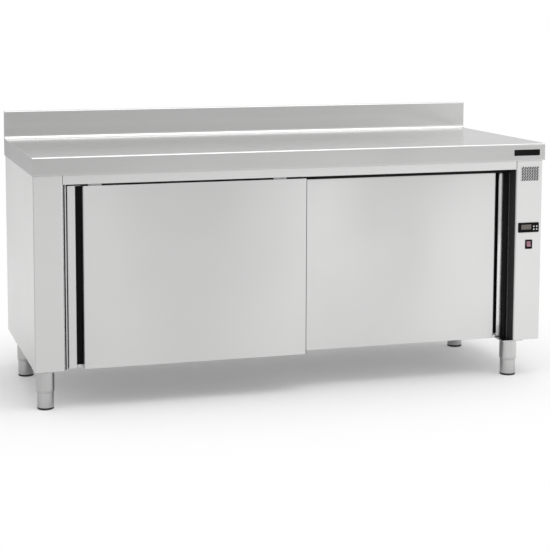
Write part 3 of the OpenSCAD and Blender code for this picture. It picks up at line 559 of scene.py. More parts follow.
def steel(name, color, roughness, grain, groups, contrast=0.03, marks=0.05, scale=4.0, waves=0.0, bands=0.0):
    """Brushed sheet: streaks along the grain, soft marks, a painted highlight on its bends and edges, painted
    shade in its tight corners and, where asked, painted reflection bands.
    """
    look = bpy.context.scene.cabinet_steel
    material, tree, shader, vector = new_material(name, color, 1.0, roughness)
    streaks = place_group(tree, groups["grain"], vector, Grain=grain)
    patches = place_group(tree, groups["marks"], vector, Scale=scale)
    edges = place_group(tree, groups["edges"], Radius=look.edge_radius)
    tone = math_node(tree, "MULTIPLY", streaks.outputs["Streak"], contrast)
    tone = math_node(tree, "ADD", tone, math_node(tree, "MULTIPLY", streaks.outputs["Wave"], waves))
    share = (contrast + waves) / 2
    color_out = blend(tree, tone, scaled(color, 1 - share), scaled(color, 2 - share))
    # Painted reflection: soft upright dark bands blended into the door colour.
    if bands:
        wide = place_group(tree, groups["bands"], vector)
        depth = math_node(tree, "MULTIPLY", wide.outputs["Mask"], bands)
        color_out = blend(tree, depth, color_out, (0, 0, 0))
    # Painted highlight: edges and bends are lightened towards a brighter copy of the steel colour.
    painted_highlight = math_node(tree, "MULTIPLY", edges.outputs["Edge"], 0.6)
    color_out = blend(tree, painted_highlight, color_out, scaled(color, 1.3))
    # Painted shade: tight corners, found by ambient occlusion, are darkened towards a near-black copy of the steel
    # colour.
    painted_shade = math_node(tree, "MULTIPLY", edges.outputs["Corner"], look.corner_shade)
    color_out = blend(tree, painted_shade, color_out, scaled(color, 0.12))
    tree.links.new(color_out, shader.inputs["Base Color"])
    polish = math_node(tree, "MULTIPLY", streaks.outputs["Streak"], 0.08)
    polish = math_node(tree, "ADD", polish, math_node(tree, "MULTIPLY", patches.outputs["Mask"], marks))
    vary(tree, polish, roughness - 0.04, roughness + 0.96, shader.inputs["Roughness"])
    bump(tree, streaks.outputs["Height"], look.grain, 0.0002, shader.inputs["Normal"], edges.outputs["Normal"])
    return material


def plastic(name, color, roughness, groups, texture=1500.0, depth=0.15, **plain):
    """Moulded plastic or rubber with a fine texture and a slightly uneven gloss."""
    material, tree, shader, vector = new_material(name, color, 0.0, roughness, **plain)
    skin = place_group(tree, groups["moulded"], vector, Scale=texture)
    shade_between(tree, skin.outputs["Mask"], scaled(color, 0.9), scaled(color, 1.1),
                  shader.inputs["Base Color"])
    vary(tree, skin.outputs["Mask"], roughness - 0.05, roughness + 0.05, shader.inputs["Roughness"])
    bump(tree, skin.outputs["Height"], depth, 0.0001, shader.inputs["Normal"])
    return material


def galvanised(name, color, groups):
    """Zinc-coated sheet with its spangle."""
    material, tree, shader, vector = new_material(name, color, 0.9, 0.42)
    crystals = add_node(tree, "TexVoronoi", {"feature": "F1"}, Scale=160.0)
    tree.links.new(vector, crystals.inputs["Vector"])
    tone = add_node(tree, "SeparateColor")
    tree.links.new(crystals.outputs["Color"], tone.inputs[0])
    shade_between(tree, tone.outputs[0], scaled(color, 0.82), scaled(color, 1.12),
                  shader.inputs["Base Color"])
    vary(tree, tone.outputs[1], 0.34, 0.5, shader.inputs["Roughness"])
    patches = place_group(tree, groups["marks"], vector, Scale=9.0)
    bump(tree, patches.outputs["Mask"], 0.08, 0.0005, shader.inputs["Normal"])
    return material


def heated_sheath(name, color, groups):
    """Sheath of a heating element, straw and blue where it has been hot."""
    material, tree, shader, vector = new_material(name, color, 1.0, 0.45)
    patches = place_group(tree, groups["marks"], vector, Scale=28.0)
    ramp = tree.nodes.new("ShaderNodeValToRGB")
    ramp.color_ramp.elements[0].color = (0.24, 0.2, 0.19, 1)
    ramp.color_ramp.elements[1].color = (0.42, 0.34, 0.24, 1)
    middle = ramp.color_ramp.elements.new(0.5)
    middle.color = (0.25, 0.24, 0.3, 1)
    tree.links.new(patches.outputs["Mask"], ramp.inputs[0])
    tree.links.new(ramp.outputs[0], shader.inputs["Base Color"])
    vary(tree, patches.outputs["Mask"], 0.38, 0.55, shader.inputs["Roughness"])
    return material


def make_materials():
    """One material for each slot of the record."""
    look = bpy.context.scene.cabinet_steel
    tint = tuple(look.tint)
    groups = {"grain": brushed_grain(), "marks": handling_marks(), "moulded": moulded_texture(),
              "edges": sheet_edges(), "bands": painted_reflection_bands()}
    level = (3.0, 240.0, 240.0)
    upright = (240.0, 240.0, 3.0)
    waves = look.waves
    return {
        "worktop_steel": steel("worktop_steel", scaled(tint, 0.86), look.worktop_roughness, level, groups,
                               marks=0.02, waves=waves),
        "body_steel": steel("body_steel", tint, look.panel_roughness, upright, groups, waves=waves),
        "door_steel": steel("door_steel", tint, look.panel_roughness, upright, groups, waves=waves,
                            bands=look.bands),
        # Lighter, glossier copy of the steel: a painted highlight on the rear door's stile.
        "highlight_trim_steel": steel("highlight_trim_steel", scaled(tint, 1.1), 0.22, upright, groups),
        "vent_steel": steel("vent_steel", scaled(tint, 0.9), look.panel_roughness, upright, groups),
        # Near-black finish of the column strip: a buffer and partly painted shade for the column's return.
        "buffer_and_shade_black": plastic("buffer_and_shade_black", (0.03, 0.03, 0.03), 0.6, groups, 1200.0, 0.3,
                               Specular_IOR_Level=0.3),
        "liner_steel": steel("liner_steel", scaled(tint, 0.86), 0.4, upright, groups),
        "leg_steel": steel("leg_steel", scaled(tint, 0.8), 0.13, (300.0, 300.0, 6.0), groups,
                           contrast=0.25, marks=0.03, scale=14.0),
        "galvanised_steel": galvanised("galvanised_steel", (0.58, 0.6, 0.61), groups),
        "badge": plastic("badge", (0.004, 0.004, 0.0045), 0.3, groups, 900.0, 0.02, Specular_IOR_Level=0.12),
        "rubber_black": plastic("rubber_black", (0.008, 0.008, 0.0085), 0.6, groups, 1200.0, 0.3,
                                Specular_IOR_Level=0.12),
        # Pale finish of the tube on the left seal, a painted highlight on that seal.
        "seal_silicone": plastic("seal_silicone", (0.6, 0.6, 0.59), 0.4, groups, 1000.0, 0.1),
        "nylon_white": plastic("nylon_white", (0.8, 0.79, 0.75), 0.4, groups, 1300.0, 0.1,
                               Subsurface_Weight=0.15),
        "pad_plastic": plastic("pad_plastic", (0.02, 0.02, 0.022), 0.5, groups, 1400.0, 0.2),
        "control_black": plastic("control_black", (0.004, 0.004, 0.0045), 0.4, groups, 2200.0, 0.12,
                                 Specular_IOR_Level=0.1),
        "display_pane": plastic("display_pane", (0.16, 0.14, 0.127), 0.2, groups, 700.0, 0.01),
        "unlit_digit": plastic("unlit_digit", (0.09, 0.07, 0.063), 0.2, groups, 700.0, 0.01),
        "key_white": plastic("key_white", (0.82, 0.82, 0.8), 0.38, groups, 2400.0, 0.1),
        "rocker_red": plastic("rocker_red", (0.36, 0.185, 0.235), 0.35, groups, 1500.0, 0.03,
                              Specular_IOR_Level=0.3),
        "motor_paint": plastic("motor_paint", (0.12, 0.13, 0.15), 0.35, groups, 600.0, 0.2),
        "element_sheath": heated_sheath("element_sheath", (0.32, 0.28, 0.25), groups),
        "terminal_plastic": plastic("terminal_plastic", (0.7, 0.65, 0.52), 0.5, groups, 1800.0, 0.15),
    }


class CABINET_OT_dress_frame(bpy.types.Operator):
    """Give every CAD node the finish of its slot"""

    bl_idname = "cabinet.dress_frame"
    bl_label = "Dress the frame"

    def execute(self, context):
        finishes = make_materials()
        for row in frame["record"]["subparts"]:
            node = NODES[row["node"]]
            node.data.materials.clear()
            node.data.materials.append(finishes[row["material_slot"]])
        return {"FINISHED"}


class CABINET_OT_add_door_seals(bpy.types.Operator):
    """Model the round-nosed seals beside the doors, and the pale tube on the left one, a painted highlight: the
    left seal gets a lit pale stripe while the right one stays dark as in shade
    """

    bl_idname = "cabinet.add_door_seals"
    bl_label = "Door seals"

    def execute(self, context):
        (left_low, left_high), (right_low, right_high) = islands("door_seals")
        base_low = left_low + BACK * SEAL_TUBE_PROUD
        tube_low = left_low + Vector((SEAL_TUBE_ROOM[0], 0, 0))
        tube_high = Vector((left_high.x - SEAL_TUBE_ROOM[1], base_low.y + 0.0005, left_high.z))
        base = self.seal("left_door_seal", base_low, left_high)
        # Painted highlight: a pale strip on the left seal stands for the light it catches; the right seal is left
        # dark.
        tube = self.seal("left_seal_highlight_tube", tube_low, tube_high)
        right = self.seal("right_door_seal", right_low, right_high)
        fit(base, "cabinet", "rubber_black", "door_seals")
        fit(tube, "cabinet", "seal_silicone")
        fit(right, "cabinet", "rubber_black")
        return {"FINISHED"}

    def seal(self, name, low, high):
        """Upright bar with a round nose."""
        piece = block(name, low, high)
        upright = along(2)
        pick(piece, "EDGE", lambda edge: upright(edge) and edge.verts[0].co.y < low.y + 1e-5)
        nose = (high.x - low.x) * bpy.context.scene.cabinet_fittings.seal_nose
        bpy.ops.mesh.bevel(offset=min(nose, (high.y - low.y) * 0.9), segments=8)
        done(piece)
        return soften(piece, 0.0004, segments=2)


class CABINET_OT_add_buffer_strips(bpy.types.Operator):
    """Model the ribbed buffer strip on the control column and the strip on the front door's end; both are near
    black and also stand for shade, on the column's dark return and in the seam between the doors
    """

    bl_idname = "cabinet.add_buffer_strips"
    bl_label = "Buffer strips"

    def execute(self, context):
        thick = context.scene.cabinet_fittings.strip_thick
        rail_low, rail_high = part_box("door_rail")
        door_low, door_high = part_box("left_door_skin")
        near, far = STRIP_BAND
        low = Vector((rail_high.x - thick, rail_low.y + near, door_low.z))
        high = Vector((rail_high.x, rail_low.y + far, rail_low.z))
        # A near-black buffer strip that also stands for the shade and dark reflections on the column's return.
        ribbed = block("column_buffer_and_shade", low, high)
        third = (far - near) / 3
        for rib in (1, 2):
            y = low.y + third * rib
            cut(ribbed, block("groove_tool", (low.x - thick, y - STRIP_GAP / 2, low.z - thick),
                              (low.x + thick * 0.6, y + STRIP_GAP / 2, high.z + thick)))
        soften(ribbed, thick * 0.3)
        fit(ribbed, "cabinet", "rubber_black", finish="buffer_and_shade_black")
        # Painted shade: a black strip on the door's end that draws the dark line where the doors meet.
        edge = block("left_door_seam_shade", (door_high.x, door_low.y + 0.0015, door_low.z),
                     (door_high.x + thick, door_low.y + 0.0065, door_high.z))
        soften(edge, thick * 0.4)
        fit(edge, "left_door", "rubber_black")
        return {"FINISHED"}


class CABINET_OT_add_head_brush(bpy.types.Operator):
    """Model the brush seal that hangs between the doors under the rail; its black bristles also stand for the
    shade in the gap under the rail
    """

    bl_idname = "cabinet.add_head_brush"
    bl_label = "Head brush"

    def execute(self, context):
        drop, holder_drop, holder_top = BRUSH_DROP
        rail_low, rail_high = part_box("door_rail")
        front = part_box("left_door_skin")[1].y
        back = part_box("right_door_skin")[0].y
        room = (back - front) / 3
        # The black bristles are partly a real brush seal and partly painted shade for the dark gap under the rail.
        bristles = block("head_brush", (rail_low.x, front + room, rail_low.z - drop),
                         (rail_high.x, back - room, rail_low.z + holder_drop))
        soften(bristles, 0.0004, segments=2)
        fit(bristles, "cabinet", "rubber_black")
        holder = block("head_brush_holder", (rail_low.x, front - room, rail_low.z + drop),
                       (rail_high.x, back - room / 2, rail_low.z + holder_top))
        set_faces(holder, (0, 0, -1), (room / 3, (0, 0, room / 2)))
        soften(holder, 0.0003, segments=2)
        fit(holder, "cabinet", "galvanised_steel")
        return {"FINISHED"}


class CABINET_OT_add_vent(bpy.types.Operator):
    """Model the vent's slotted plate and the pleated dust filter behind it"""

    bl_idname = "cabinet.add_vent"
    bl_label = "Vent"

    def execute(self, context):
        self.add_plate()
        self.add_filter(context)
        return {"FINISHED"}

    def add_plate(self):
        """Plate with a flange behind it and round-ended slanted slots through it."""
        low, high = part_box("vent_grille")
        middle = (low + high) / 2
        rim = Vector((VENT_FLANGE, 0, VENT_FLANGE))
        face_high = Vector((high.x, middle.y, high.z)) - rim
        plate = block("vent_plate", low + rim, face_high)
        flange = block("flange", (low.x, middle.y, low.z), high)
        opening = block("opening", Vector((low.x, middle.y - 0.001, low.z)) + rim * 1.5,
                        Vector((high.x, high.y + 0.001, high.z)) - rim * 1.5)
        cut(flange, opening)
        modify(plate, "BOOLEAN", operation="UNION", object=flange, solver="EXACT")
        bpy.data.objects.remove(flange)
        long, wide = (side / 2 for side in VENT_SLOT)
        slot = block("slot", (-long, -0.002, -wide), (long, 0.002, wide))
        pick(slot, "EDGE", along(1))
        bpy.ops.mesh.bevel(offset=wide * 0.95, segments=6)
        done(slot)
        slot.rotation_euler = (0, -VENT_TILT, 0)
        settle(slot, "slot")
        columns, rows = VENT_COUNT
        slots = [copy_of(slot, (middle.x + (i - (columns - 1) / 2) * VENT_PITCH[0], low.y,
                                middle.z + (j - (rows - 1) / 2) * VENT_PITCH[1]))
                 for i in range(columns) for j in range(rows)]
        bpy.data.objects.remove(slot)
        cut(plate, join(slots, "slots"))
        activate(plate)
        bpy.ops.object.shade_smooth_by_angle(angle=math.radians(30))
        fit(plate, "cabinet", "body_steel", "vent_grille", finish="vent_steel")

    def add_filter(self, context):
        """Pleated pad behind the plate."""
        pleats = context.scene.cabinet_fittings.pleats
        low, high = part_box("vent_grille")
        filter_low = Vector((low.x + 0.004, high.y + 0.0002, low.z + 0.004))
        filter_high = Vector((high.x - 0.004, high.y + 0.0062, high.z - 0.004))
        pad = block("vent_filter", filter_low, filter_high)
        step = (filter_high.x - filter_low.x) / pleats
        pick(pad, "FACE", facing(FRONT))
        for i in range(1, 2 * pleats):
            bpy.ops.mesh.select_all(action="SELECT")
            bpy.ops.mesh.bisect(plane_co=(filter_low.x + step * i / 2, 0, 0), plane_no=(1, 0, 0))
        pick(pad, "EDGE", lambda edge: along(2)(edge) and edge.verts[0].co.y < filter_low.y + 1e-5
             and round((edge.verts[0].co.x - filter_low.x) / step * 2) % 2 == 1)
        bpy.ops.transform.translate(value=BACK * 0.004)
        done(pad)
        activate(pad)
        bpy.ops.object.shade_smooth_by_angle(angle=math.radians(20))
        fit(pad, "cabinet", "rubber_black")


class CABINET_OT_add_pull_liners(bpy.types.Operator):
    """Model a black channel in the bottom of the finger pull of each door, a dark piece that stands for the shade
    in the recess
    """

    bl_idname = "cabinet.add_pull_liners"
    bl_label = "Finger pull shade liners"

    def execute(self, context):
        wall = context.scene.cabinet_fittings.liner_wall
        for pull in frame["record"]["physics"]["openings"]:
            side = pull["name"].split("_")[0]
            if not pull["name"].endswith("door_pull"):
                continue
            low, high = (Vector(corner) for corner in pull["box_m"])
            skin_low, skin_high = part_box(side + "_door_skin")
            room = Vector((PULL_LINER_ROOM, 0, 0))
            floor_y = high.y + 0.0004
            liner_low = Vector((low.x, floor_y - PULL_FLOOR, skin_low.z + 0.012)) - room
            liner_high = Vector((high.x, floor_y, skin_high.z - 0.004)) + room
            # Painted shade: a black liner in the recess makes the finger pull as dark as its shade.
            liner = block(side + "_pull_shade_liner", liner_low, liner_high)
            set_faces(liner, FRONT, (wall, BACK * (PULL_FLOOR - wall)))
            soften(liner, wall * 0.3, segments=2)
            fit(liner, side + "_door", "rubber_black")
        self.add_stile_trim()
        return {"FINISHED"}

    def add_stile_trim(self):
        """Slanted strip on the rear door's stile, between its finger pull and the seal, in a lighter and glossier
        copy of the door steel: a painted highlight on the stile.
        """
        seal_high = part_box("door_seals")[1]
        low, high = next([Vector(corner) for corner in pull["box_m"]]
                         for pull in frame["record"]["physics"]["openings"] if pull["name"] == "right_door_pull")
        skin_low, skin_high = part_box("right_door_skin")
        thin, thick = STILE_WEDGE
        stile_y = high.y + 0.0005 - STILE_OVER_FLOOR
        trim = block("right_stile_highlight_trim", (high.x + 0.0012, stile_y - thin, skin_low.z + 0.002),
                     (seal_high.x - 0.0122, stile_y, skin_high.z - 0.002))
        edge_x = max(vert.co.x for vert in trim.data.vertices)
        pick(trim, "EDGE", lambda edge: along(2)(edge) and edge.verts[0].co.x > edge_x - 1e-5
             and edge.verts[0].co.y < stile_y - thin / 2)
        bpy.ops.transform.translate(value=FRONT * (thick - thin))
        done(trim)
        soften(trim, thin * 0.5, segments=2)
        fit(trim, "right_door", "door_steel", finish="highlight_trim_steel")


class CABINET_OT_add_nameplate(bpy.types.Operator):
    """Model the blank plate on the edge of the worktop"""

    bl_idname = "cabinet.add_nameplate"
    bl_label = "Blank plate"

    def execute(self, context):
        edge = context.scene.cabinet_fittings.plate_edge
        low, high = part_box("nameplate")
        plate = block("blank_plate", low, high)
        pick(plate, "EDGE", along(1))
        bpy.ops.mesh.bevel(offset=0.0025, segments=6)
        set_faces(plate, FRONT, (PLATE_RIM, None), (edge, BACK * edge))
        soften(plate, edge * 0.5, segments=2)
        fit(plate, "cabinet", "badge", "nameplate")
        return {"FINISHED"}


class CABINET_OT_add_thermostat_face(bpy.types.Operator):
    """Model the thermostat's frame, pane and unlit digits"""

    bl_idname = "cabinet.add_thermostat_face"
    bl_label = "Thermostat face"

    def execute(self, context):
        low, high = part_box("thermostat_bezel")
        pane_low, pane_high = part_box("thermostat_display")
        face = block("thermostat_frame", low, high)
        pick(face, "EDGE", along(1))
        bpy.ops.mesh.bevel(offset=0.002, segments=6)
        done(face)
        gap = Vector((0.0002, 0, 0.0002))
        cut(face, block("window_tool", pane_low - gap - BACK * 0.01, pane_high + gap))
        for name in ("key_set", "key_up", "key_down", "key_power"):
            key_low, key_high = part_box(name)
            middle = (key_low + key_high) / 2
            radius = (key_high.x - key_low.x) / 2 + 0.0002
            cut(face, rod("key_tool", (middle.x, low.y - 0.01, middle.z), BACK, 0.02, radius))
        soften(face, 0.0004, segments=3)
        fit(face, "cabinet", "control_black", "thermostat_bezel")
        self.add_pane(pane_low, pane_high)
        return {"FINISHED"}

    def add_pane(self, low, high):
        """Pane with unlit digits of seven bars on it."""
        pane = block("thermostat_pane", low, high)
        soften(pane, 0.0003, segments=2)
        fit(pane, "cabinet", "display_pane", "thermostat_display")
        tall = (high.z - low.z) * 0.62
        wide = tall * 0.52
        bar = tall * 0.09
        front = low.y - 0.00008
        bars = []
        for i in range(DIGITS):
            x = low.x + (high.x - low.x) * (0.22 + 0.28 * i)
            z = (low.z + high.z) / 2
            for level in (-1, 0, 1):
                bars.append(((x, z + level * tall / 2), (wide - bar, bar)))
            for across in (-1, 1):
                for level in (-1, 1):
                    bars.append(((x + across * wide / 2, z + level * tall / 4), (bar, tall / 2 - bar)))
        pieces = [block("bar", (x - w / 2, front, z - h / 2), (x + w / 2, low.y + 0.0001, z + h / 2))
                  for (x, z), (w, h) in bars]
        digits = join(pieces, "unlit_digits")
        fit(digits, "cabinet", "display_pane", finish="unlit_digit")


class CABINET_OT_add_keys(bpy.types.Operator):
    """Model the four crowned keys of the thermostat"""

    bl_idname = "cabinet.add_keys"
    bl_label = "Thermostat keys"

    def execute(self, context):
        crown = context.scene.cabinet_fittings.key_crown
        names = ("key_set", "key_up", "key_down", "key_power")
        low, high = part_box(names[0])
        radius = (high.x - low.x) / 2
        start = Vector(((low.x + high.x) / 2, high.y, (low.z + high.z) / 2))
        first = rod(names[0] + "_cap", start, FRONT, high.y - low.y - crown, radius, 40)
        set_faces(first, FRONT, *((radius * share, FRONT * crown / 2) for share in (0.3, 0.35)))
        soften(first, 0.0003)
        for name in names:
            key = first
            if name != names[0]:
                key = settle(copy_of(first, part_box(name)[0] - low), name + "_cap")
            fit(key, name, "key_white", name)
        return {"FINISHED"}


class CABINET_OT_add_rocker(bpy.types.Operator):
    """Model the dished rocker, its coloured lens and its two marks"""

    bl_idname = "cabinet.add_rocker"
    bl_label = "Switch rocker"

    def execute(self, context):
        sizes = context.scene.cabinet_fittings
        pivot = joint_point("switch_rock")
        low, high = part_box("switch_rocker")
        frame_low, frame_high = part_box("switch_housing")
        half_w = (frame_high.x - frame_low.x) / 2 - ROCKER_MARGIN
        half_h = (high.z - low.z) / 2 - 0.0002
        body = self.dished("rocker_body", pivot, (half_w, ROCKER_REACH, half_h), ROCKER_DEEP)
        lens_half = (half_w - LENS_EDGE, ROCKER_REACH + LENS_PROUD, half_h - LENS_EDGE)
        lens = self.dished("rocker_lens", pivot, lens_half, LENS_FRONT)
        mark_y = pivot.y - ROCKER_REACH - 0.0003 + sizes.rocker_dish / 2
        bar = block("mark", (pivot.x - 0.0004, mark_y - 0.0003, pivot.z + 0.0045),
                    (pivot.x + 0.0004, mark_y + 0.0004, pivot.z + 0.0075))
        deselect()
        bpy.ops.mesh.primitive_torus_add(
            major_radius=0.0014, minor_radius=0.0004, major_segments=32, minor_segments=8,
            location=(pivot.x, mark_y, pivot.z - 0.006), rotation=(math.radians(90), 0, 0))
        ring = settle(bpy.context.object, "ring")
        marks = join([bar, ring], "rocker_marks")
        pins = rod("rocker_pins", (frame_low.x + 0.0024, pivot.y, pivot.z), (1, 0, 0),
                   frame_high.x - frame_low.x - 0.0048, 0.0015)
        soften(pins, 0.0003)
        for piece in (body, lens, marks):
            pick(piece, "FACE", lambda face: True)
            bpy.ops.transform.rotate(value=ROCK_ANGLE, orient_axis="X", center_override=pivot)
            done(piece)
        fit(body, "switch_rocker", "control_black", "switch_rocker")
        fit(lens, "switch_rocker", "rocker_red")
        fit(marks, "switch_rocker", "key_white")
        fit(pins, "switch_rocker", "control_black")
        return {"FINISHED"}

    def dished(self, name, pivot, half, deep):
        """Block across the pivot whose front dips to a line at the pivot's height."""
        wide, reach, tall = half
        piece = block(name, pivot + Vector((-wide, -reach, -tall)), pivot + Vector((wide, deep, tall)))
        pick(piece, "EDGE", lambda edge: True)
        bpy.ops.mesh.bisect(plane_co=pivot, plane_no=(0, 0, 1))
        pick(piece, "EDGE", lambda edge: all(
            abs(vert.co.z - pivot.z) < 1e-5 and vert.co.y < pivot.y - reach / 2 for vert in edge.verts))
        bpy.ops.transform.translate(value=BACK * bpy.context.scene.cabinet_fittings.rocker_dish)
        if deep > 0:
            pick(piece, "FACE", facing(BACK))
            bpy.ops.transform.resize(value=(1, 1, 0.45), center_override=pivot)
        done(piece)
        return soften(piece, bpy.context.scene.cabinet_fittings.rocker_edge, segments=4, angle=30)


class CABINET_OT_add_back_screws(bpy.types.Operator):
    """Model the cross-head screws of the back panel"""

    bl_idname = "cabinet.add_back_screws"
    bl_label = "Back panel screws"

    def execute(self, context):
        slot = context.scene.cabinet_fittings.screw_slot
        corners = islands("back_panel_screws")
        low, high = corners[0]
        middle = (low + high) / 2
        radius = (high.x - low.x) / 2
        head_h = high.y - low.y
        head = rod("screw_head", (middle.x, low.y, middle.z), BACK, head_h * 0.75, radius)
        set_faces(head, BACK, (radius * 0.35, BACK * head_h * 0.25))
        soften(head, head_h * 0.16)
        arm = radius * 0.5
        for wide, tall in ((arm, slot / 2), (slot / 2, arm)):
            cut(head, block("slot_tool", (middle.x - wide, high.y - head_h * 0.5, middle.z - tall),
                            (middle.x + wide, high.y + head_h, middle.z + tall)))
        copies = [copy_of(head, (corner[0] + corner[1]) / 2 - middle) for corner in corners[1:]]
        screws = join([head, *copies], "back_screw_heads")
        fit(screws, "cabinet", "galvanised_steel", "back_panel_screws")
        return {"FINISHED"}


class CABINET_OT_set_stage(bpy.types.Operator):
    """Set the floor, the lamps, the backdrop and the camera"""

    bl_idname = "cabinet.set_stage"
    bl_label = "Studio"

    def execute(self, context):
        studio = context.scene.cabinet_studio
        self.add_floor(context)
        self.light_world(context)
        self.add_lamp("top_lamp", studio.top_lamp, (0.3, -0.6, 3.4), (0, 0, 0.5), 4.0, 2.6)
        self.add_lamp("right_lamp", studio.right_lamp, (3.6, -3.4, 1.7), (0.6, -0.2, 0.5), 2.4, 2.2)
        self.add_lamp("left_lamp", studio.left_lamp, (-3.0, 2.4, 0.3), (-0.9, 0, 0.3), 2.4, 1.2)
        camera_data = bpy.data.cameras.new("camera")
        camera_data.sensor_width = 36
        camera_data.lens = studio.lens
        camera_data.shift_x = studio.shift_x
        camera_data.shift_y = studio.shift_y
        camera = bpy.data.objects.new("camera", camera_data)
        camera.location = studio.camera_place
        camera.rotation_euler = (math.radians(90) - studio.camera_pitch, 0, -studio.camera_yaw)
        context.collection.objects.link(camera)
        context.scene.camera = camera
        context.scene.view_settings.view_transform = "Standard"
        return {"FINISHED"}

    def add_lamp(self, name, power, place, target, wide, tall):
        """Soft rectangular lamp that points at a target."""
        data = bpy.data.lights.new(name, "AREA")
        data.shape = "RECTANGLE"
        data.size = wide
        data.size_y = tall
        data.energy = power
        lamp = bpy.data.objects.new(name, data)
        lamp.location = place
        lamp.rotation_euler = (Vector(target) - Vector(place)).to_track_quat("-Z", "Y").to_euler()
        bpy.context.collection.objects.link(lamp)

    def add_floor(self, context):
        """Floor with the shadow, white around it for the camera and a graded glow for glossy rays."""
        deselect()
        bpy.ops.mesh.primitive_plane_add(size=24, location=(0, 0, 0))
        floor = bpy.context.object
        floor.name = "studio_floor"
        surface = bpy.data.materials.new("studio_floor")
        surface.use_nodes = True
        tree = surface.node_tree
        tree.nodes.clear()
        output = tree.nodes.new("ShaderNodeOutputMaterial")
        place = tree.nodes.new("ShaderNodeTexCoord")
        pale = add_node(tree, "BsdfDiffuse", Color=(0.8, 0.8, 0.8, 1))
        fill = add_node(tree, "Emission", Color=(1, 1, 1, 1), Strength=0.15)
        filled = add_node(tree, "AddShader", None, pale.outputs[0], fill.outputs[0])
        white = add_node(tree, "Emission", Color=(1, 1, 1, 1), Strength=1.0)
        stretch = add_node(tree, "Mapping", Vector=place.outputs["Object"], Scale=(0.55, 0.9, 1))
        length = add_node(tree, "VectorMath", {"operation": "LENGTH"}, stretch.outputs[0])
        fade = add_node(tree, "MapRange", SMOOTH, Value=length.outputs["Value"], From_Min=0.35, From_Max=1.1)
        seen = add_node(tree, "MixShader", None, fade.outputs[0], filled.outputs[0], white.outputs[0])
        sides = add_node(tree, "SeparateXYZ", None, place.outputs["Object"])
        across = self.level_ramp(tree, sides.outputs["X"], (-3.0, 5.0), (
            (-3.0, 0.66), (-1.6, 0.66), (0.5, 0.97), (1.9, 1.2), (3.2, 1.02), (5.0, 1.1)))
        ahead = self.level_ramp(tree, sides.outputs["Y"], (-9.0, 9.0), (
            (-9.0, 0.45), (-6.4, 0.53), (-4.9, 1.15), (-3.8, 1.25), (-2.7, 1.14), (-1.8, 0.97), (0.3, 0.95),
            (1.1, 1.3), (2.2, 1.3), (4.0, 0.95), (6.5, 0.72), (9.0, 0.62)))
        glow = add_node(tree, "Emission", Color=ahead, Strength=across)
        away = add_node(tree, "VectorMath", {"operation": "ABSOLUTE"}, place.outputs["Object"])
        past = add_node(tree, "VectorMath", {"operation": "SUBTRACT"}, away.outputs[0], FOOTPRINT)
        beyond = add_node(tree, "SeparateXYZ", None, past.outputs[0])
        outside = math_node(tree, "MAXIMUM", beyond.outputs["X"], beyond.outputs["Y"])
        clear = add_node(tree, "MapRange", SMOOTH, Value=outside, From_Min=-0.1, From_Max=0.35, To_Max=0.75)
        mirrored = add_node(tree, "MixShader", None, clear.outputs[0], pale.outputs[0], glow.outputs[0])
        path = tree.nodes.new("ShaderNodeLightPath")
        glossy = add_node(tree, "MixShader", None, path.outputs["Is Glossy Ray"], seen.outputs[0],
                          mirrored.outputs[0])
        tree.links.new(glossy.outputs[0], output.inputs["Surface"])
        floor.data.materials.append(surface)

    def level_ramp(self, tree, place, ends, steps):
        """Brightness that follows a place along a line, from pairs of place and level."""
        low, high = ends
        along_line = add_node(tree, "MapRange", Value=place, From_Min=low, From_Max=high)
        node = add_node(tree, "ValToRGB", None, along_line.outputs[0])
        ramp = node.color_ramp
        ramp.elements[0].color = (steps[0][1],) * 3 + (1,)
        ramp.elements[1].color = (steps[-1][1],) * 3 + (1,)
        for spot, level in steps[1:-1]:
            ramp.elements.new((spot - low) / (high - low)).color = (level,) * 3 + (1,)
        return node.outputs[0]

    def light_world(self, context):
        """White backdrop for the camera, and a soft grey studio for everything else."""
        world = bpy.data.worlds.new("studio")
        context.scene.world = world
        world.use_nodes = True
        tree = world.node_tree
        tree.nodes.clear()
        output = tree.nodes.new("ShaderNodeOutputWorld")
        place = tree.nodes.new("ShaderNodeTexCoord")
        sides = add_node(tree, "SeparateXYZ", None, place.outputs["Generated"])
        across = add_node(tree, "MapRange", SMOOTH, Value=sides.outputs["X"],
                          From_Min=-0.7, From_Max=0.7, To_Min=0.5, To_Max=1.0)
        up = add_node(tree, "MapRange", SMOOTH, Value=sides.outputs["Z"],
                      From_Min=0.0, From_Max=0.7, To_Min=0.82, To_Max=1.0)
        ahead = math_node(tree, "MULTIPLY", across.outputs[0], up.outputs[0])
        behind = add_node(tree, "MapRange", SMOOTH, Value=sides.outputs["Y"],
                          From_Min=0.0, From_Max=0.5, To_Min=0.0, To_Max=1.0)
        level = add_node(tree, "Mix", {"data_type": "FLOAT"})
        tree.links.new(behind.outputs[0], level.inputs[0])
        tree.links.new(ahead, level.inputs[2])
        level.inputs[3].default_value = 0.8
        studio = add_node(tree, "Background", Color=(1, 1, 1, 1), Strength=level.outputs[0])
        white = add_node(tree, "Background", Color=(1, 1, 1, 1), Strength=1.0)
        path = tree.nodes.new("ShaderNodeLightPath")
        straight = math_node(tree, "MAXIMUM", path.outputs["Is Camera Ray"],
                             path.outputs["Is Transmission Ray"])
        chosen = add_node(tree, "MixShader", None, straight, studio.outputs[0], white.outputs[0])
        tree.links.new(chosen.outputs[0], output.inputs["Surface"])


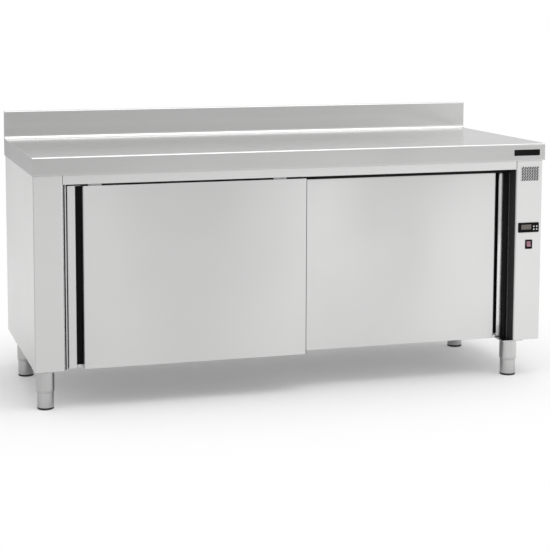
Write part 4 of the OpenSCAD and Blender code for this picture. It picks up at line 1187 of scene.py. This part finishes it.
class CABINET_PT_panel(bpy.types.Panel):
    """Steps and settings of the cabinet"""

    bl_idname = "CABINET_PT_panel"
    bl_label = "Plate warmer cabinet"
    bl_space_type = "VIEW_3D"
    bl_region_type = "UI"
    bl_category = "Cabinet"

    def draw(self, context):
        for operator in STEPS:
            self.layout.operator(operator.bl_idname)
        for group in (context.scene.cabinet_steel, context.scene.cabinet_fittings,
                      context.scene.cabinet_studio):
            box = self.layout.box()
            for name in group.__annotations__:
                box.prop(group, name)


STEPS = (
    CABINET_OT_dress_frame,
    CABINET_OT_add_door_seals,
    CABINET_OT_add_buffer_strips,
    CABINET_OT_add_head_brush,
    CABINET_OT_add_vent,
    CABINET_OT_add_pull_liners,
    CABINET_OT_add_nameplate,
    CABINET_OT_add_thermostat_face,
    CABINET_OT_add_keys,
    CABINET_OT_add_rocker,
    CABINET_OT_add_back_screws,
    CABINET_OT_set_stage,
)
GROUPS = {"cabinet_steel": SteelLook, "cabinet_fittings": FittingSizes, "cabinet_studio": StudioLook}


def register():
    """Registers the classes and the settings."""
    for cls in (*GROUPS.values(), *STEPS, CABINET_PT_panel):
        bpy.utils.register_class(cls)
    for name, cls in GROUPS.items():
        setattr(bpy.types.Scene, name, bpy.props.PointerProperty(type=cls))


def unregister():
    """Removes the settings and the classes."""
    for name in GROUPS:
        delattr(bpy.types.Scene, name)
    for cls in reversed((*GROUPS.values(), *STEPS, CABINET_PT_panel)):
        bpy.utils.unregister_class(cls)


def main():
    """Builds everything in order."""
    register()
    for step in STEPS:
        getattr(bpy.ops.cabinet, step.bl_idname.split(".")[1])()


if __name__ == "__main__":
    main()
